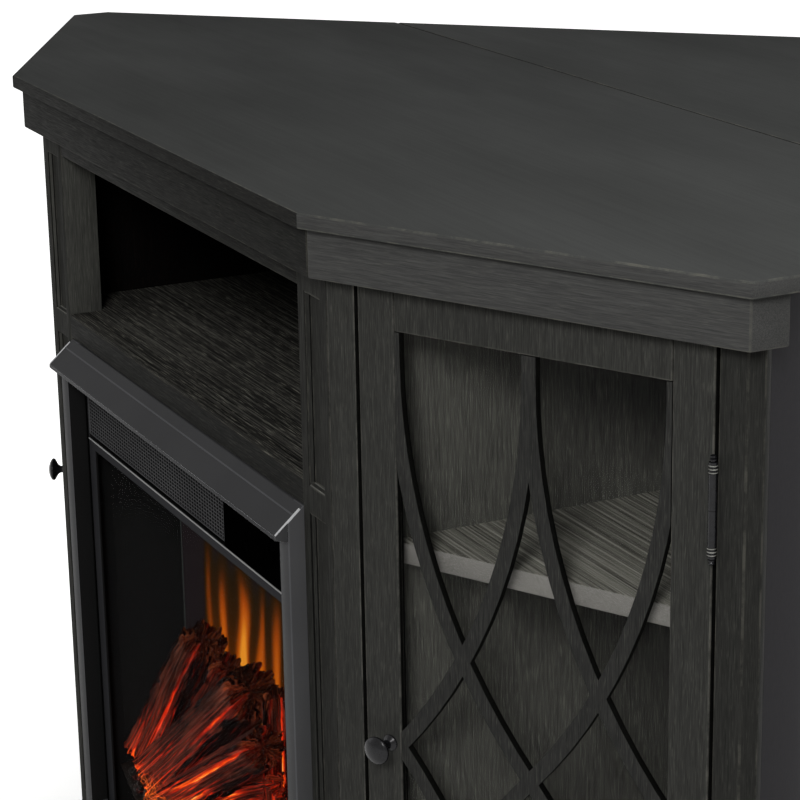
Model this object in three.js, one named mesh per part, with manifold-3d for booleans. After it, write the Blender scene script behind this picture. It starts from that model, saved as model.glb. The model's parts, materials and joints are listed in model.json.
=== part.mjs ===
// A corner television stand with an electric fireplace in its middle bay.
// Millimetres, Z up. X runs along the front and Y from the front into the room's corner.
// The drawing starts with Y = 0 at the front edge of the top and Z = 0 at the floor.
import * as THREE from 'three';
import { mergeVertices } from 'three/addons/utils/BufferGeometryUtils.js';
import Module from 'manifold-3d';

const wasm = await Module();
wasm.setup();

// Clearances
const jointGap = 0.3; // between pieces that meet in turned groups
const cutOverrun = 5; // how far a cutting shape runs past what it cuts

// Plan of the top
const topFrontWidth = 714;
const topSideLength = 399.8; // edge over each door, which makes the whole top 1420 wide
const topEndLength = 42;
const topDiagonalLength = 357.1; // main board's edge behind each end, up to the corner board
const cornerTipWidth = 100;
const topThickness = 13;
const seamGap = 1;
const sideAngle = THREE.MathUtils.degToRad(28); // how far each door face turns back
const rearAngle = THREE.MathUtils.degToRad(45);
const totalHeight = 876;

// Setbacks of what is below the top, from its edge
const friezeSetback = 8.7;
const bodySetback = 26;
const friezeHeight = 41;
const apronThickness = 18;

// Base
const baseHeight = 44;
const baseProud = 8; // base moulding past the body
const baseThickness = 34;

// Face frame
const frameDepth = 24; // stiles and posts beside the doors
const pilasterWidth = 56.6;
const pilasterDepth = 35;
const innerStileWidth = 28;
const postFaceWidth = 23.2;
const postReturn = 18; // the post's face along the rear diagonal
const railThickness = 18;
const headerDrop = 21; // header showing below the frieze
const shelfRailHeight = 24;
const lowerRailHeight = 41;
const shadowGroove = 1.5; // groove along the top of the shelf rail

// Recessed panels on the pilasters
const recessMargin = 11;
const recessDepth = 5;
const recessSlope = 4;
const recessTopGap = 22; // from the frieze to the upper recess
const recessBand = 21; // plain band between the two recesses
const recessBandTop = 631;
const recessBottomGap = 36;

// Panels and shelves
const partitionThickness = 18;
const partitionInset = 6.7; // partition face outboard of the body's front corner
const backThickness = 9;
const floorTop = 81;
const boardThickness = 16;
const sillThickness = 18; // sills under the floor panel behind the doors
const mediaShelfTop = 636;
const cabinetShelfTop = 600;
const cabinetShelfThickness = 18;
const cableHoleRadius = 30;
const ventHoleWidth = 260;
const ventHoleHeight = 120;
const ventHoleRise = 120; // bottom of the vent above the floor panel

// Doors
const doorGap = 3;
const doorThickness = 20;
const doorStileWidth = 35;
const doorRailWidth = 34;
const lipThickness = 6.5; // front of the frame that hides the edge of the glass
const lipWidth = 8;
const glassThickness = 4;
const latticeStrip = 13;
const latticeLead = 20; // straight start of each curve
const latticeInset = 1.5; // outer curves start this far past the opening's edge
const arcStepCount = 14;

// Door knobs, measured out from the door's face
const knobRadius = 12;
const knobReach = 24;
const knobNeckRadius = 4;
const knobRoseRadius = 7;
const knobRoseHeight = 3;
const knobCapHeight = 9;
const knobFromDoorEdge = 24;

// Hinges
const leafThickness = 1.2;
const leafHeight = 62;
const leafDepth = 17;
const barrelRadius = 3.3;
const barrelHeight = 74;
const pinRadius = 1.5;
const finialRadius = 2.6;
const finialNeckRadius = 1.8;
const finialHeight = 5.5;
const hingeFromDoorTop = 124.5; // door top to the middle of the upper hinge

// Fireplace insert
const insertClearance = 2; // to each side of the opening
const trimProud = 14;
const trimFaceWidth = 20;
const trimFootHeight = 12;
const trimLift = 1;
const hoodReach = 26; // hood tip forward of the body
const hoodRise = 23; // height of the hood's slope
const hoodLip = 3.5;
const hoodTopGap = 2; // under the shelf rail
const hoodSoffitDrop = 3.5;
const caseSideGap = 4; // from the trim's inner face
const caseSetback = 4; // case front behind the body's face
const caseDepth = 176;
const caseSheet = 2.5;
const caseTopGap = 3; // under the hood
const caseLift = 3; // case bottom over the lower rail
const skidWidth = 40;
const skidInset = 60;
const caseFlange = 18;
const ventBandHeight = 62;
const ventBandSetDown = 4; // band opening below the case's top
const deckBelowBand = 8;
const grilleThickness = 2;
const grilleSetIn = 0.5;
const slotPitchX = 16;
const slotPitchZ = 9;
const slotWidth = 12;
const slotHeight = 4;
const grilleBorder = 6;
const controlPanelWidth = 164;
const controlPanelThickness = 3;
const fireGlassThickness = 4;
const screenThickness = 3;
const screenSetback = 88; // flame screen behind the fire glass
const emberFrontHeight = 34;
const emberBackHeight = 62;
const emberFrontGap = 5;
const emberSideGap = 8;

// Logs
const logSideCount = 10;
const logRadius = 19;
const logRidgeShare = 0.1; // three ridges around each log, as a share of its radius
const logTwistShare = 0.07;
const logTaperShare = 0.5;

// Flame rotor and blower
const shaftRadius = 3;
const rotorReach = 15;
const vaneThickness = 1.2;
const rotorHeight = 90; // above the case bottom
const rotorBehindScreen = 22;
const wheelRadius = 22;
const wheelRim = 3;
const wheelBladeCount = 12;
const wheelBladeDepth = 6;
const wheelSetback = 110; // wheel axis behind the case front
const housingHalfWidth = 130;
const housingSheet = 3;
const housingFront = 30; // behind the case front
const housingBack = 30; // behind the wheel's axis
const heaterDepth = 28;
const heaterHeight = 50;
const housingPlateHeight = 56;

// Power inlet
const inletWidth = 30;
const inletHeight = 22;
const inletDepth = 12;
const inletFromSide = 60;
const inletRise = 40;

// Finishes
const paint = (color, roughness, metalness = 0) =>
  new THREE.MeshStandardMaterial({ color, roughness, metalness });
const charcoalWood = paint('#343432', 0.62);
const topWood = paint('#3c3c3b', 0.5);
const shelfEdgeWood = paint('#6d6b67', 0.6);
const backBoard = paint('#242423', 0.75);
const darkMetal = paint('#2a2a2b', 0.35, 0.8);
const hoodMetal = paint('#434345', 0.4, 0.6);
const blackSheet = paint('#141414', 0.55, 0.3);
const glossBlack = paint('#080808', 0.1);
const clearGlass = paint('#3b3f3f', 0.05);
const screenGlass = paint('#2a160c', 0.25);
const charredLog = paint('#4a1f14', 0.85);
const emberCoal = paint('#5a1c0c', 0.8);
const brightSheet = paint('#9a9a98', 0.35, 0.9);

// Plan geometry
const point = (x, y) => new THREE.Vector2(x, y);

// Where the line through p along d meets the line through q along e.
function meet(p, d, q, e) {
  const between = q.clone().sub(p);
  return p.clone().addScaledVector(d, between.cross(e) / d.cross(e));
}

const heading = (from, to) => to.clone().sub(from).normalize();
const inwardOf = (direction) => point(-direction.y, direction.x);

// The outline with each edge moved inward by its own setback; outlines run anticlockwise.
function inset(outline, setbacks) {
  const edges = outline.map((start, i) => {
    const direction = heading(start, outline[(i + 1) % outline.length]);
    const setback = Array.isArray(setbacks) ? setbacks[i] : setbacks;
    return { direction, start: start.clone().addScaledVector(inwardOf(direction), setback) };
  });
  return edges.map((edge, i) => {
    const before = edges.at(i - 1);
    return meet(before.start, before.direction, edge.start, edge.direction);
  });
}

const mirrored = (points) => points.map((p) => point(-p.x, p.y)).reverse();
const onSide = (points, side) => (side > 0 ? points : mirrored(points));

const halfFront = topFrontWidth / 2;
const halfTop = halfFront + topSideLength * Math.cos(sideAngle);
const halfRear = halfTop - topDiagonalLength * Math.cos(rearAngle);
const halfTip = cornerTipWidth / 2;
const endStart = topSideLength * Math.sin(sideAngle);
const endStop = endStart + topEndLength;
const seamY = endStop + topDiagonalLength * Math.sin(rearAngle);
const tipY = seamY + (halfRear - halfTip) * Math.tan(rearAngle);

const rightHalfTop = [
  point(halfFront, 0),
  point(halfTop, endStart),
  point(halfTop, endStop),
  point(halfRear, seamY),
];
const mainTopOutline = [...rightHalfTop, ...mirrored(rightHalfTop)];
const cornerTopOutline = [
  point(-halfRear, seamY),
  point(halfRear, seamY),
  point(halfTip, tipY),
  point(-halfTip, tipY),
];

// Edges of the main outline in order: right door face, right end, right diagonal, back,
// left diagonal, left end, left door face, front.
const edgeOrder = ['face', 'end', 'diagonal', 'back', 'diagonal', 'end', 'face', 'front'];
const insetBy = (outline, setbacks) => inset(outline, edgeOrder.map((name) => setbacks[name]));
const bodyOutline = inset(mainTopOutline, bodySetback);
const [bodyCorner, endCorner, rearCorner, backCorner] = bodyOutline;
const bodyFront = bodyCorner.y;
const bodyBack = backCorner.y;
const faceDirection = heading(bodyCorner, endCorner);
const faceInward = inwardOf(faceDirection);
const diagonalDirection = heading(rearCorner, backCorner);
const diagonalInward = inwardOf(diagonalDirection);
const faceLength = bodyCorner.distanceTo(endCorner);
const openingHalf = bodyCorner.x - pilasterWidth;
const partitionInner = bodyCorner.x + partitionInset;
const partitionOuter = partitionInner + partitionThickness;

// A plan point given by its distance along the right door face and its depth behind it.
const facePoint = (along, depth) =>
  bodyCorner.clone().addScaledVector(faceDirection, along).addScaledVector(faceInward, depth);

// Heights
const underTop = totalHeight - topThickness;
const friezeBottom = underTop - friezeHeight;
const openingTop = friezeBottom - headerDrop;
const lowerRailTop = baseHeight + lowerRailHeight;
const shelfRailBottom = mediaShelfTop - shelfRailHeight;
const doorTop = friezeBottom - doorGap;
const doorBottom = baseHeight + doorGap;
const doorMiddle = (doorTop + doorBottom) / 2;

// Solids
function block(x0, x1, y0, y1, z0, z1) {
  const box = new THREE.BoxGeometry(Math.abs(x1 - x0), Math.abs(y1 - y0), Math.abs(z1 - z0));
  return box.translate((x0 + x1) / 2, (y0 + y1) / 2, (z0 + z1) / 2);
}

function extrude(outline, length, holes = []) {
  const shape = new THREE.Shape(outline);
  for (const hole of holes) shape.holes.push(new THREE.Path(hole));
  return new THREE.ExtrudeGeometry(shape, { depth: length, bevelEnabled: false });
}

// A plan outline raised between two heights.
const prism = (outline, z0, z1, holes) => extrude(outline, z1 - z0, holes).translate(0, 0, z0);

// A face outline in X and Z, through a board between two depths.
const facePlate = (outline, y0, y1, holes) =>
  extrude(outline, y1 - y0, holes).rotateX(Math.PI / 2).translate(0, y1, 0);

// A profile in Y and Z, drawn along X.
function beam(profile, x0, x1) {
  const turn = new THREE.Matrix4().makeBasis(
    new THREE.Vector3(0, 1, 0),
    new THREE.Vector3(0, 0, 1),
    new THREE.Vector3(1, 0, 0),
  );
  return extrude(profile, x1 - x0).applyMatrix4(turn).translate(x0, 0, 0);
}

function toSolid(geometry) {
  const bare = geometry.clone();
  bare.deleteAttribute('normal');
  bare.deleteAttribute('uv');
  const merged = mergeVertices(bare);
  const vertProperties = new Float32Array(merged.attributes.position.array);
  const triVerts = new Uint32Array(merged.index.array);
  return new wasm.Manifold(new wasm.Mesh({ numProp: 3, vertProperties, triVerts }));
}

function toGeometry(solid) {
  const mesh = solid.getMesh();
  const geometry = new THREE.BufferGeometry();
  geometry.setAttribute('position', new THREE.BufferAttribute(mesh.vertProperties, 3));
  geometry.setIndex(new THREE.BufferAttribute(mesh.triVerts, 1));
  geometry.computeVertexNormals();
  return geometry;
}

const join = (geometries) => toGeometry(geometries.map(toSolid).reduce((sum, next) => sum.add(next)));
const cut = (geometry, cutters) =>
  toGeometry(cutters.map(toSolid).reduce((rest, cutter) => rest.subtract(cutter), toSolid(geometry)));
const keepInside = (geometry, bounds) => toGeometry(toSolid(geometry).intersect(toSolid(bounds)));

const stand = new THREE.Group();

function add(parent, name, geometry, material) {
  const mesh = new THREE.Mesh(geometry, material);
  mesh.name = name;
  parent.add(mesh);
  return mesh;
}

const sideName = (side) => (side > 0 ? 'right' : 'left');
const sides = [-1, 1];

// Top boards
function addTop() {
  add(stand, 'top_main', prism(mainTopOutline, underTop, totalHeight), topWood);
  const [left, right, tipRight, tipLeft] = cornerTopOutline;
  const apart = seamGap / Math.tan(rearAngle);
  const outline = [
    point(left.x + apart, seamY + seamGap),
    point(right.x - apart, seamY + seamGap),
    tipRight,
    tipLeft,
  ];
  add(stand, 'top_corner', prism(outline, underTop, totalHeight), topWood);
}

// Trapezoid ring that carries the corner board, fixed to the back panel
function addCornerApron() {
  const ringAt = (setback, frontY) => {
    const [, , tipRight, tipLeft] = inset(cornerTopOutline, setback);
    const direction = heading(point(halfRear, seamY), point(halfTip, tipY));
    const frontRight = meet(tipRight, direction, point(0, frontY), point(1, 0));
    return [point(-frontRight.x, frontY), frontRight, tipRight, tipLeft];
  };
  const outer = ringAt(friezeSetback, bodyBack);
  const inner = ringAt(friezeSetback + apronThickness, bodyBack + apronThickness);
  add(stand, 'corner_apron', prism(outer, friezeBottom, underTop, [inner]), charcoalWood);
}

// Frieze boards under the top's front, door and end edges
function addFrieze() {
  const outer = inset(mainTopOutline, friezeSetback);
  const inner = inset(mainTopOutline, bodySetback - jointGap);
  const trimX = jointGap / 2;
  const front = [
    point(inner[0].x - trimX, bodyFront),
    point(trimX - inner[0].x, bodyFront),
    point(trimX - outer[0].x, outer[0].y),
    point(outer[0].x - trimX, outer[0].y),
  ];
  add(stand, 'frieze_front', prism(front, friezeBottom, underTop), charcoalWood);
  for (const side of sides) {
    const [innerCorner, outerCorner] = [inner[0], outer[0]].map((corner) =>
      corner.clone().addScaledVector(faceDirection, trimX));
    const outline = [outerCorner, outer[1], outer[2], inner[2], inner[1], innerCorner];
    const board = prism(onSide(outline, side), friezeBottom, underTop);
    add(stand, `frieze_${sideName(side)}`, board, charcoalWood);
  }
}

// A tapered cutter for a recessed panel: it narrows by the slope as it goes in
function recessCutter(x0, x1, z0, z1) {
  const cutter = block(x0, x1, bodyFront - cutOverrun, bodyFront + recessDepth, z0, z1);
  const position = cutter.attributes.position;
  const middleX = (x0 + x1) / 2;
  const middleZ = (z0 + z1) / 2;
  for (let i = 0; i < position.count; i += 1) {
    if (position.getY(i) > bodyFront) {
      position.setX(i, position.getX(i) + recessSlope * Math.sign(middleX - position.getX(i)));
      position.setZ(i, position.getZ(i) + recessSlope * Math.sign(middleZ - position.getZ(i)));
    }
  }
  return cutter;
}

// Pilasters beside the middle bay, mitred against the inner stiles
function addPilasters() {
  const mitre = frameDepth * Math.tan(sideAngle / 2);
  const mitreX = bodyCorner.x - mitre - jointGap;
  const outline = [
    point(openingHalf, bodyFront),
    point(bodyCorner.x - jointGap, bodyFront),
    point(mitreX, bodyFront + frameDepth),
    point(mitreX, bodyFront + pilasterDepth),
    point(openingHalf, bodyFront + pilasterDepth),
  ];
  const x0 = openingHalf + recessMargin;
  const x1 = bodyCorner.x - recessMargin;
  for (const side of sides) {
    const recesses = [
      recessCutter(side * x0, side * x1, recessBandTop, friezeBottom - recessTopGap),
      recessCutter(side * x0, side * x1, baseHeight + recessBottomGap, recessBandTop - recessBand),
    ];
    const board = prism(onSide(outline, side), baseHeight, underTop);
    add(stand, `pilaster_${sideName(side)}`, cut(board, recesses), charcoalWood);
  }
}

// Rails between the pilasters
function addRails() {
  const back = bodyFront + railThickness;
  const header = block(-openingHalf, openingHalf, bodyFront, back, openingTop, underTop);
  add(stand, 'header_rail', header, charcoalWood);
  const grooved = [
    point(bodyFront, shelfRailBottom),
    point(back, shelfRailBottom),
    point(back, mediaShelfTop),
    point(bodyFront + shadowGroove, mediaShelfTop),
    point(bodyFront + shadowGroove, mediaShelfTop - shadowGroove),
    point(bodyFront, mediaShelfTop - shadowGroove),
  ];
  add(stand, 'shelf_rail', beam(grooved, -openingHalf, openingHalf), charcoalWood);
  const lower = block(-openingHalf, openingHalf, bodyFront, back, baseHeight, lowerRailTop);
  add(stand, 'lower_rail', lower, charcoalWood);
}

// Stiles and posts on each side of the door openings
const diagonalReturnStart = rearCorner.clone().addScaledVector(diagonalDirection, postReturn);
function addStilesAndPosts() {
  const innerStile = [
    bodyCorner,
    facePoint(innerStileWidth, 0),
    facePoint(innerStileWidth, frameDepth),
    point(bodyCorner.x - frameDepth * Math.tan(sideAngle / 2), bodyFront + frameDepth),
  ];
  const postStart = faceLength - postFaceWidth;
  const post = [
    facePoint(postStart, 0),
    endCorner,
    rearCorner,
    diagonalReturnStart,
    meet(diagonalReturnStart, diagonalInward, facePoint(0, frameDepth), faceDirection),
    facePoint(postStart, frameDepth),
  ];
  for (const side of sides) {
    const name = sideName(side);
    add(stand, `inner_stile_${name}`, prism(onSide(innerStile, side), baseHeight, underTop), charcoalWood);
    add(stand, `end_post_${name}`, prism(onSide(post, side), baseHeight, underTop), charcoalWood);
  }
}

// Inner faces of the carcase
const innerOutline = insetBy(mainTopOutline, {
  front: bodySetback + pilasterDepth,
  face: bodySetback + frameDepth + jointGap,
  end: bodySetback + frameDepth,
  diagonal: bodySetback + backThickness + jointGap,
  back: bodySetback + backThickness,
});
const innerBack = bodyBack - backThickness;
const [frontInner, , , rearInner] = innerOutline;
// Room for boards inside the carcase: it reaches the rails between the pilasters and passes
// beside the end posts
const rightRoom = [
  point(openingHalf, bodyFront + railThickness),
  point(openingHalf, frontInner.y),
  frontInner,
  facePoint(faceLength - postFaceWidth, frameDepth + jointGap),
  rearCorner.clone()
    .addScaledVector(diagonalInward, backThickness + jointGap)
    .addScaledVector(diagonalDirection, postReturn + jointGap),
  rearInner,
];
const roomOutline = [...rightRoom, ...mirrored(rightRoom)];

// A board that fills the carcase between two X places and two heights.
function boardInside(x0, x1, z0, z1) {
  const slab = block(x0, x1, bodyFront, bodyBack, z0 - cutOverrun, z1 + cutOverrun);
  return keepInside(slab, prism(roomOutline, z0, z1));
}

function addCarcasePanels() {
  const backInner = insetBy(mainTopOutline, {
    front: bodySetback,
    face: bodySetback,
    end: bodySetback,
    diagonal: bodySetback + backThickness,
    back: bodySetback + backThickness,
  });
  const mitreTrim = jointGap / 2;
  const panelStart = diagonalReturnStart.clone().addScaledVector(diagonalDirection, jointGap);
  const panelEnd = [backCorner, backInner[3]].map((corner) =>
    corner.clone().addScaledVector(diagonalDirection, -mitreTrim));
  const diagonal = [
    panelStart,
    ...panelEnd,
    panelStart.clone().addScaledVector(diagonalInward, backThickness),
  ];
  for (const side of sides) {
    const name = sideName(side);
    const partition = boardInside(side * partitionInner, side * partitionOuter, floorTop, underTop);
    add(stand, `partition_${name}`, partition, charcoalWood);
    add(stand, `diagonal_back_${name}`, prism(onSide(diagonal, side), baseHeight, underTop), backBoard);
  }
  const backOutline = [
    point(mitreTrim - backInner[3].x, innerBack),
    point(backInner[3].x - mitreTrim, innerBack),
    point(backCorner.x - mitreTrim, bodyBack),
    point(mitreTrim - backCorner.x, bodyBack),
  ];
  const holeLength = backThickness + 2 * cutOverrun;
  const cableHole = new THREE.CylinderGeometry(cableHoleRadius, cableHoleRadius, holeLength, 24);
  cableHole.translate(0, (innerBack + bodyBack) / 2, (mediaShelfTop + openingTop) / 2);
  const ventBottom = floorTop + ventHoleRise;
  const ventHole = block(
    -ventHoleWidth / 2,
    ventHoleWidth / 2,
    innerBack - cutOverrun,
    bodyBack + cutOverrun,
    ventBottom,
    ventBottom + ventHoleHeight,
  );
  const back = cut(prism(backOutline, baseHeight, underTop), [cableHole, ventHole]);
  add(stand, 'back_panel', back, backBoard);
}

// Floor panel with its sills down to the base ring, media shelf and cabinet shelves
function addBoards() {
  const sillEnd = faceLength - postFaceWidth;
  const sillFront = frameDepth + jointGap;
  const sillStart = frontInner.clone().sub(bodyCorner).dot(faceDirection);
  const sill = [
    frontInner,
    facePoint(sillEnd, sillFront),
    facePoint(sillEnd, sillFront + sillThickness),
    facePoint(sillStart, sillFront + sillThickness),
  ];
  const sills = sides.map((side) => prism(onSide(sill, side), baseHeight, floorTop - boardThickness / 2));
  const floor = prism(roomOutline, floorTop - boardThickness, floorTop);
  add(stand, 'floor_panel', join([floor, ...sills]), charcoalWood);
  const mediaShelfBottom = mediaShelfTop - boardThickness;
  const mediaShelf = boardInside(-partitionInner, partitionInner, mediaShelfBottom, mediaShelfTop);
  add(stand, 'media_shelf', mediaShelf, charcoalWood);
  const shelfBottom = cabinetShelfTop - cabinetShelfThickness;
  for (const side of sides) {
    const shelf = boardInside(side * partitionOuter, side * halfTop, shelfBottom, cabinetShelfTop);
    add(stand, `cabinet_shelf_${sideName(side)}`, shelf, shelfEdgeWood);
  }
}

// Base ring; its front faces stand proud and its rear faces are flush
function addBase() {
  const proud = bodySetback - baseProud;
  const outer = insetBy(mainTopOutline, {
    front: proud,
    face: proud,
    end: proud,
    diagonal: bodySetback,
    back: bodySetback,
  });
  const inner = inset(outer, baseThickness);
  add(stand, 'plinth', prism(outer, 0, baseHeight, [inner]), charcoalWood);
}

// Doors, drawn in a group that lies on each door face: X along the face, Y into the cabinet
const hingeGap = 2 * leafThickness + 3 * jointGap;
const doorStart = innerStileWidth + doorGap;
const doorEnd = faceLength - postFaceWidth - hingeGap;
const glassStart = doorStart + doorStileWidth;
const glassEnd = doorEnd - doorStileWidth;
const glassBottom = doorBottom + doorRailWidth;
const glassTop = doorTop - doorRailWidth;
const pinAlong = doorEnd + hingeGap / 2;
const pinDepth = -(barrelRadius + jointGap);

// One curved strip of the lattice, from a vertical start at one height to the door's middle
function latticeStripOutline(startAlong, endAlong, upward) {
  const rise = (glassTop - glassBottom) / 2 - latticeLead;
  const travel = Math.abs(endAlong - startAlong);
  const radius = (rise * rise + travel * travel) / (2 * travel);
  const sweep = Math.asin(rise / radius);
  const way = Math.sign(endAlong - startAlong);
  const half = latticeStrip / 2;
  const startHeight = glassTop - latticeLead;
  const edge = (offset) => {
    const points = [point(startAlong + way * -offset, glassTop + cutOverrun)];
    for (let i = 0; i <= arcStepCount; i += 1) {
      const angle = (sweep * i) / arcStepCount;
      const along = startAlong + way * (radius - (radius + offset) * Math.cos(angle));
      points.push(point(along, startHeight - (radius + offset) * Math.sin(angle)));
    }
    const last = points.at(-1);
    const onward = point(way * Math.sin(sweep), -Math.cos(sweep));
    points.push(last.clone().addScaledVector(onward, half));
    return points;
  };
  const outline = [...edge(half), ...edge(-half).reverse()];
  return upward ? outline : outline.map((p) => point(p.x, 2 * doorMiddle - p.y));
}

function latticeGeometry(side) {
  const left = glassStart - latticeInset;
  const right = glassEnd + latticeInset;
  const middle = (left + right) / 2;
  const runs = [[left, middle], [middle, left], [right, middle], [middle, right]];
  const strips = [];
  for (const [from, to] of runs) {
    for (const upward of [true, false]) {
      const outline = latticeStripOutline(from, to, upward).map((p) => point(side * p.x, p.y));
      strips.push(facePlate(outline, 0, lipThickness));
    }
  }
  const opening = block(
    side * (glassStart + jointGap),
    side * (glassEnd - jointGap),
    -cutOverrun,
    lipThickness + cutOverrun,
    glassBottom + jointGap,
    glassTop - jointGap,
  );
  return keepInside(join(strips), opening);
}

function knobGeometry() {
  const shoulder = knobReach - knobCapHeight;
  const profile = [
    point(0, 0),
    point(knobRoseRadius, 0),
    point(knobRoseRadius, knobRoseHeight / 2),
    point(knobNeckRadius, knobRoseHeight),
    point(knobNeckRadius, shoulder - knobRoseHeight),
    point(knobRadius / 2, shoulder),
    point(knobRadius, shoulder + knobCapHeight / 3),
    point(knobRadius, shoulder + knobCapHeight / 2),
    point(knobRadius / 2, knobReach - knobRoseHeight / 3),
    point(0, knobReach),
  ];
  return new THREE.LatheGeometry(profile, 20).rotateX(Math.PI);
}

function addDoor(face, side) {
  const name = `door_${sideName(side)}`;
  const rebateBottom = glassBottom - lipWidth;
  const rebateTop = glassTop + lipWidth;
  const rebateBack = doorThickness + cutOverrun;
  const rebateAcross = (from, to) =>
    block(side * from, side * to, lipThickness, rebateBack, rebateBottom, rebateTop);
  const latch = block(side * doorStart, side * glassStart, 0, doorThickness, doorBottom, doorTop);
  const latchStile = cut(latch, [rebateAcross(glassStart - lipWidth, glassStart + cutOverrun)]);
  add(face, `${name}_stile_latch`, latchStile, charcoalWood);
  const hinged = block(side * glassEnd, side * doorEnd, 0, doorThickness, doorBottom, doorTop);
  const hingeStile = cut(hinged, [rebateAcross(glassEnd - cutOverrun, glassEnd + lipWidth)]);
  add(face, `${name}_stile_hinge`, hingeStile, charcoalWood);

  const railFrom = side * (glassStart + jointGap);
  const railTo = side * (glassEnd - jointGap);
  const rails = [['top', glassTop, doorTop], ['bottom', doorBottom, glassBottom]];
  for (const [place, z0, z1] of rails) {
    const rail = block(railFrom, railTo, 0, doorThickness, z0, z1);
    const rebate = block(
      railFrom - side * cutOverrun,
      railTo + side * cutOverrun,
      lipThickness,
      rebateBack,
      rebateBottom,
      rebateTop,
    );
    add(face, `${name}_rail_${place}`, cut(rail, [rebate]), charcoalWood);
  }

  const glassFront = lipThickness + jointGap;
  const glass = block(
    side * (glassStart - lipWidth + jointGap),
    side * (glassEnd + lipWidth - jointGap),
    glassFront,
    glassFront + glassThickness,
    rebateBottom + jointGap,
    rebateTop - jointGap,
  );
  add(face, `${name}_glass`, glass, clearGlass);
  add(face, `${name}_lattice`, latticeGeometry(side), charcoalWood);
  const knob = add(face, `${name}_knob`, knobGeometry(), darkMetal);
  knob.position.set(side * (doorStart + knobFromDoorEdge), -jointGap, doorMiddle);
}

// Loose-pin hinges: the frame half has the pin and the lower knuckle, the door half the upper one
function rod(radius, z0, z1, sideCount = 14) {
  const cylinder = new THREE.CylinderGeometry(radius, radius, z1 - z0, sideCount);
  return cylinder.rotateX(Math.PI / 2).translate(0, 0, (z0 + z1) / 2);
}

function addHinge(face, side, place, middle) {
  const name = `hinge_${sideName(side)}_${place}`;
  const halfLeaf = leafHeight / 2;
  const halfBarrel = barrelHeight / 2;
  const leafFrom = jointGap / 2;
  const leafTo = leafFrom + leafThickness;
  const leafFront = -pinDepth;
  const leaf = (way) =>
    block(way * leafFrom, way * leafTo, leafFront, leafFront + leafDepth, -halfLeaf, halfLeaf);
  const tongue = (way, z0, z1) =>
    block(way * leafFrom, way * leafTo, 0, leafFront + jointGap, z0, z1);
  const finial = (z0, way) => {
    const profile = [
      point(0, 0),
      point(finialNeckRadius, 0),
      point(finialRadius, finialHeight / 2),
      point(finialRadius / 2, finialHeight),
      point(0, finialHeight),
    ];
    const ball = new THREE.LatheGeometry(profile, 14).rotateX((way * Math.PI) / 2);
    return ball.translate(0, 0, z0);
  };

  const frameHalf = join([
    leaf(side),
    tongue(side, -halfLeaf, -jointGap),
    rod(barrelRadius, -halfBarrel, -jointGap / 2),
    rod(pinRadius, -halfLeaf, halfBarrel + jointGap + finialHeight / 2),
    finial(halfBarrel + jointGap / 2, 1),
    finial(-halfBarrel + jointGap / 2, -1),
  ]);
  const knuckle = join([
    leaf(-side),
    tongue(-side, jointGap, halfLeaf),
    rod(barrelRadius, jointGap / 2, halfBarrel - jointGap / 2),
  ]);
  const bore = rod(pinRadius + jointGap, -cutOverrun, halfBarrel + cutOverrun);
  for (const [half, geometry] of [['frame', frameHalf], ['door', cut(knuckle, [bore])]]) {
    const mesh = add(face, `${name}_${half}`, geometry, darkMetal);
    mesh.position.set(side * pinAlong, pinDepth, middle);
  }
}

function addDoors() {
  for (const side of sides) {
    const face = new THREE.Group();
    face.position.set(side * bodyCorner.x, bodyFront, 0);
    face.rotation.z = side * sideAngle;
    stand.add(face);
    addDoor(face, side);
    const upper = doorTop - hingeFromDoorTop;
    addHinge(face, side, 'upper', upper);
    addHinge(face, side, 'lower', 2 * doorMiddle - upper);
  }
}

// Fireplace insert, measured from the body's front face
const trimHalf = openingHalf - insertClearance;
const trimInner = trimHalf - trimFaceWidth;
const trimFront = bodyFront - trimProud;
const trimBottom = lowerRailTop + trimLift;
const hoodTop = shelfRailBottom - hoodTopGap;
const hoodTipY = bodyFront - hoodReach;
const hoodTipTop = hoodTop - hoodRise;
const hoodTipBottom = hoodTipTop - hoodLip;
const hoodSoffit = hoodTipBottom - hoodSoffitDrop;
const slopeAt = (y) => hoodTop - (hoodRise * (bodyFront - y)) / hoodReach;
const caseFront = bodyFront + caseSetback;
const trimBack = caseFront;

function addTrimAndHood() {
  const foot = trimBottom + trimFootHeight;
  const uShape = [
    point(-trimHalf, trimBottom),
    point(trimHalf, trimBottom),
    point(trimHalf, hoodTop),
    point(trimInner, hoodTop),
    point(trimInner, foot),
    point(-trimInner, foot),
    point(-trimInner, hoodTop),
    point(-trimHalf, hoodTop),
  ];
  const slopeCut = beam(
    [
      point(trimFront - cutOverrun, slopeAt(trimFront - cutOverrun)),
      point(bodyFront, hoodTop),
      point(bodyFront, hoodTop + cutOverrun),
      point(trimFront - cutOverrun, hoodTop + cutOverrun),
    ],
    -trimHalf - cutOverrun,
    trimHalf + cutOverrun,
  );
  add(stand, 'firebox_trim', cut(facePlate(uShape, trimFront, trimBack), [slopeCut]), hoodMetal);

  const frontBack = trimFront - jointGap;
  const frontWedge = [
    point(hoodTipY, hoodTipBottom),
    point(frontBack, hoodSoffit),
    point(frontBack, slopeAt(frontBack)),
    point(hoodTipY, hoodTipTop),
  ];
  const overlap = frontBack - jointGap;
  const rearWedge = [
    point(overlap, hoodSoffit),
    point(trimBack, hoodSoffit),
    point(trimBack, hoodTop),
    point(bodyFront, hoodTop),
    point(overlap, slopeAt(overlap)),
  ];
  const rearHalf = trimInner - jointGap;
  const hood = join([beam(frontWedge, -trimHalf, trimHalf), beam(rearWedge, -rearHalf, rearHalf)]);
  add(stand, 'firebox_hood', hood, hoodMetal);
}

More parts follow.
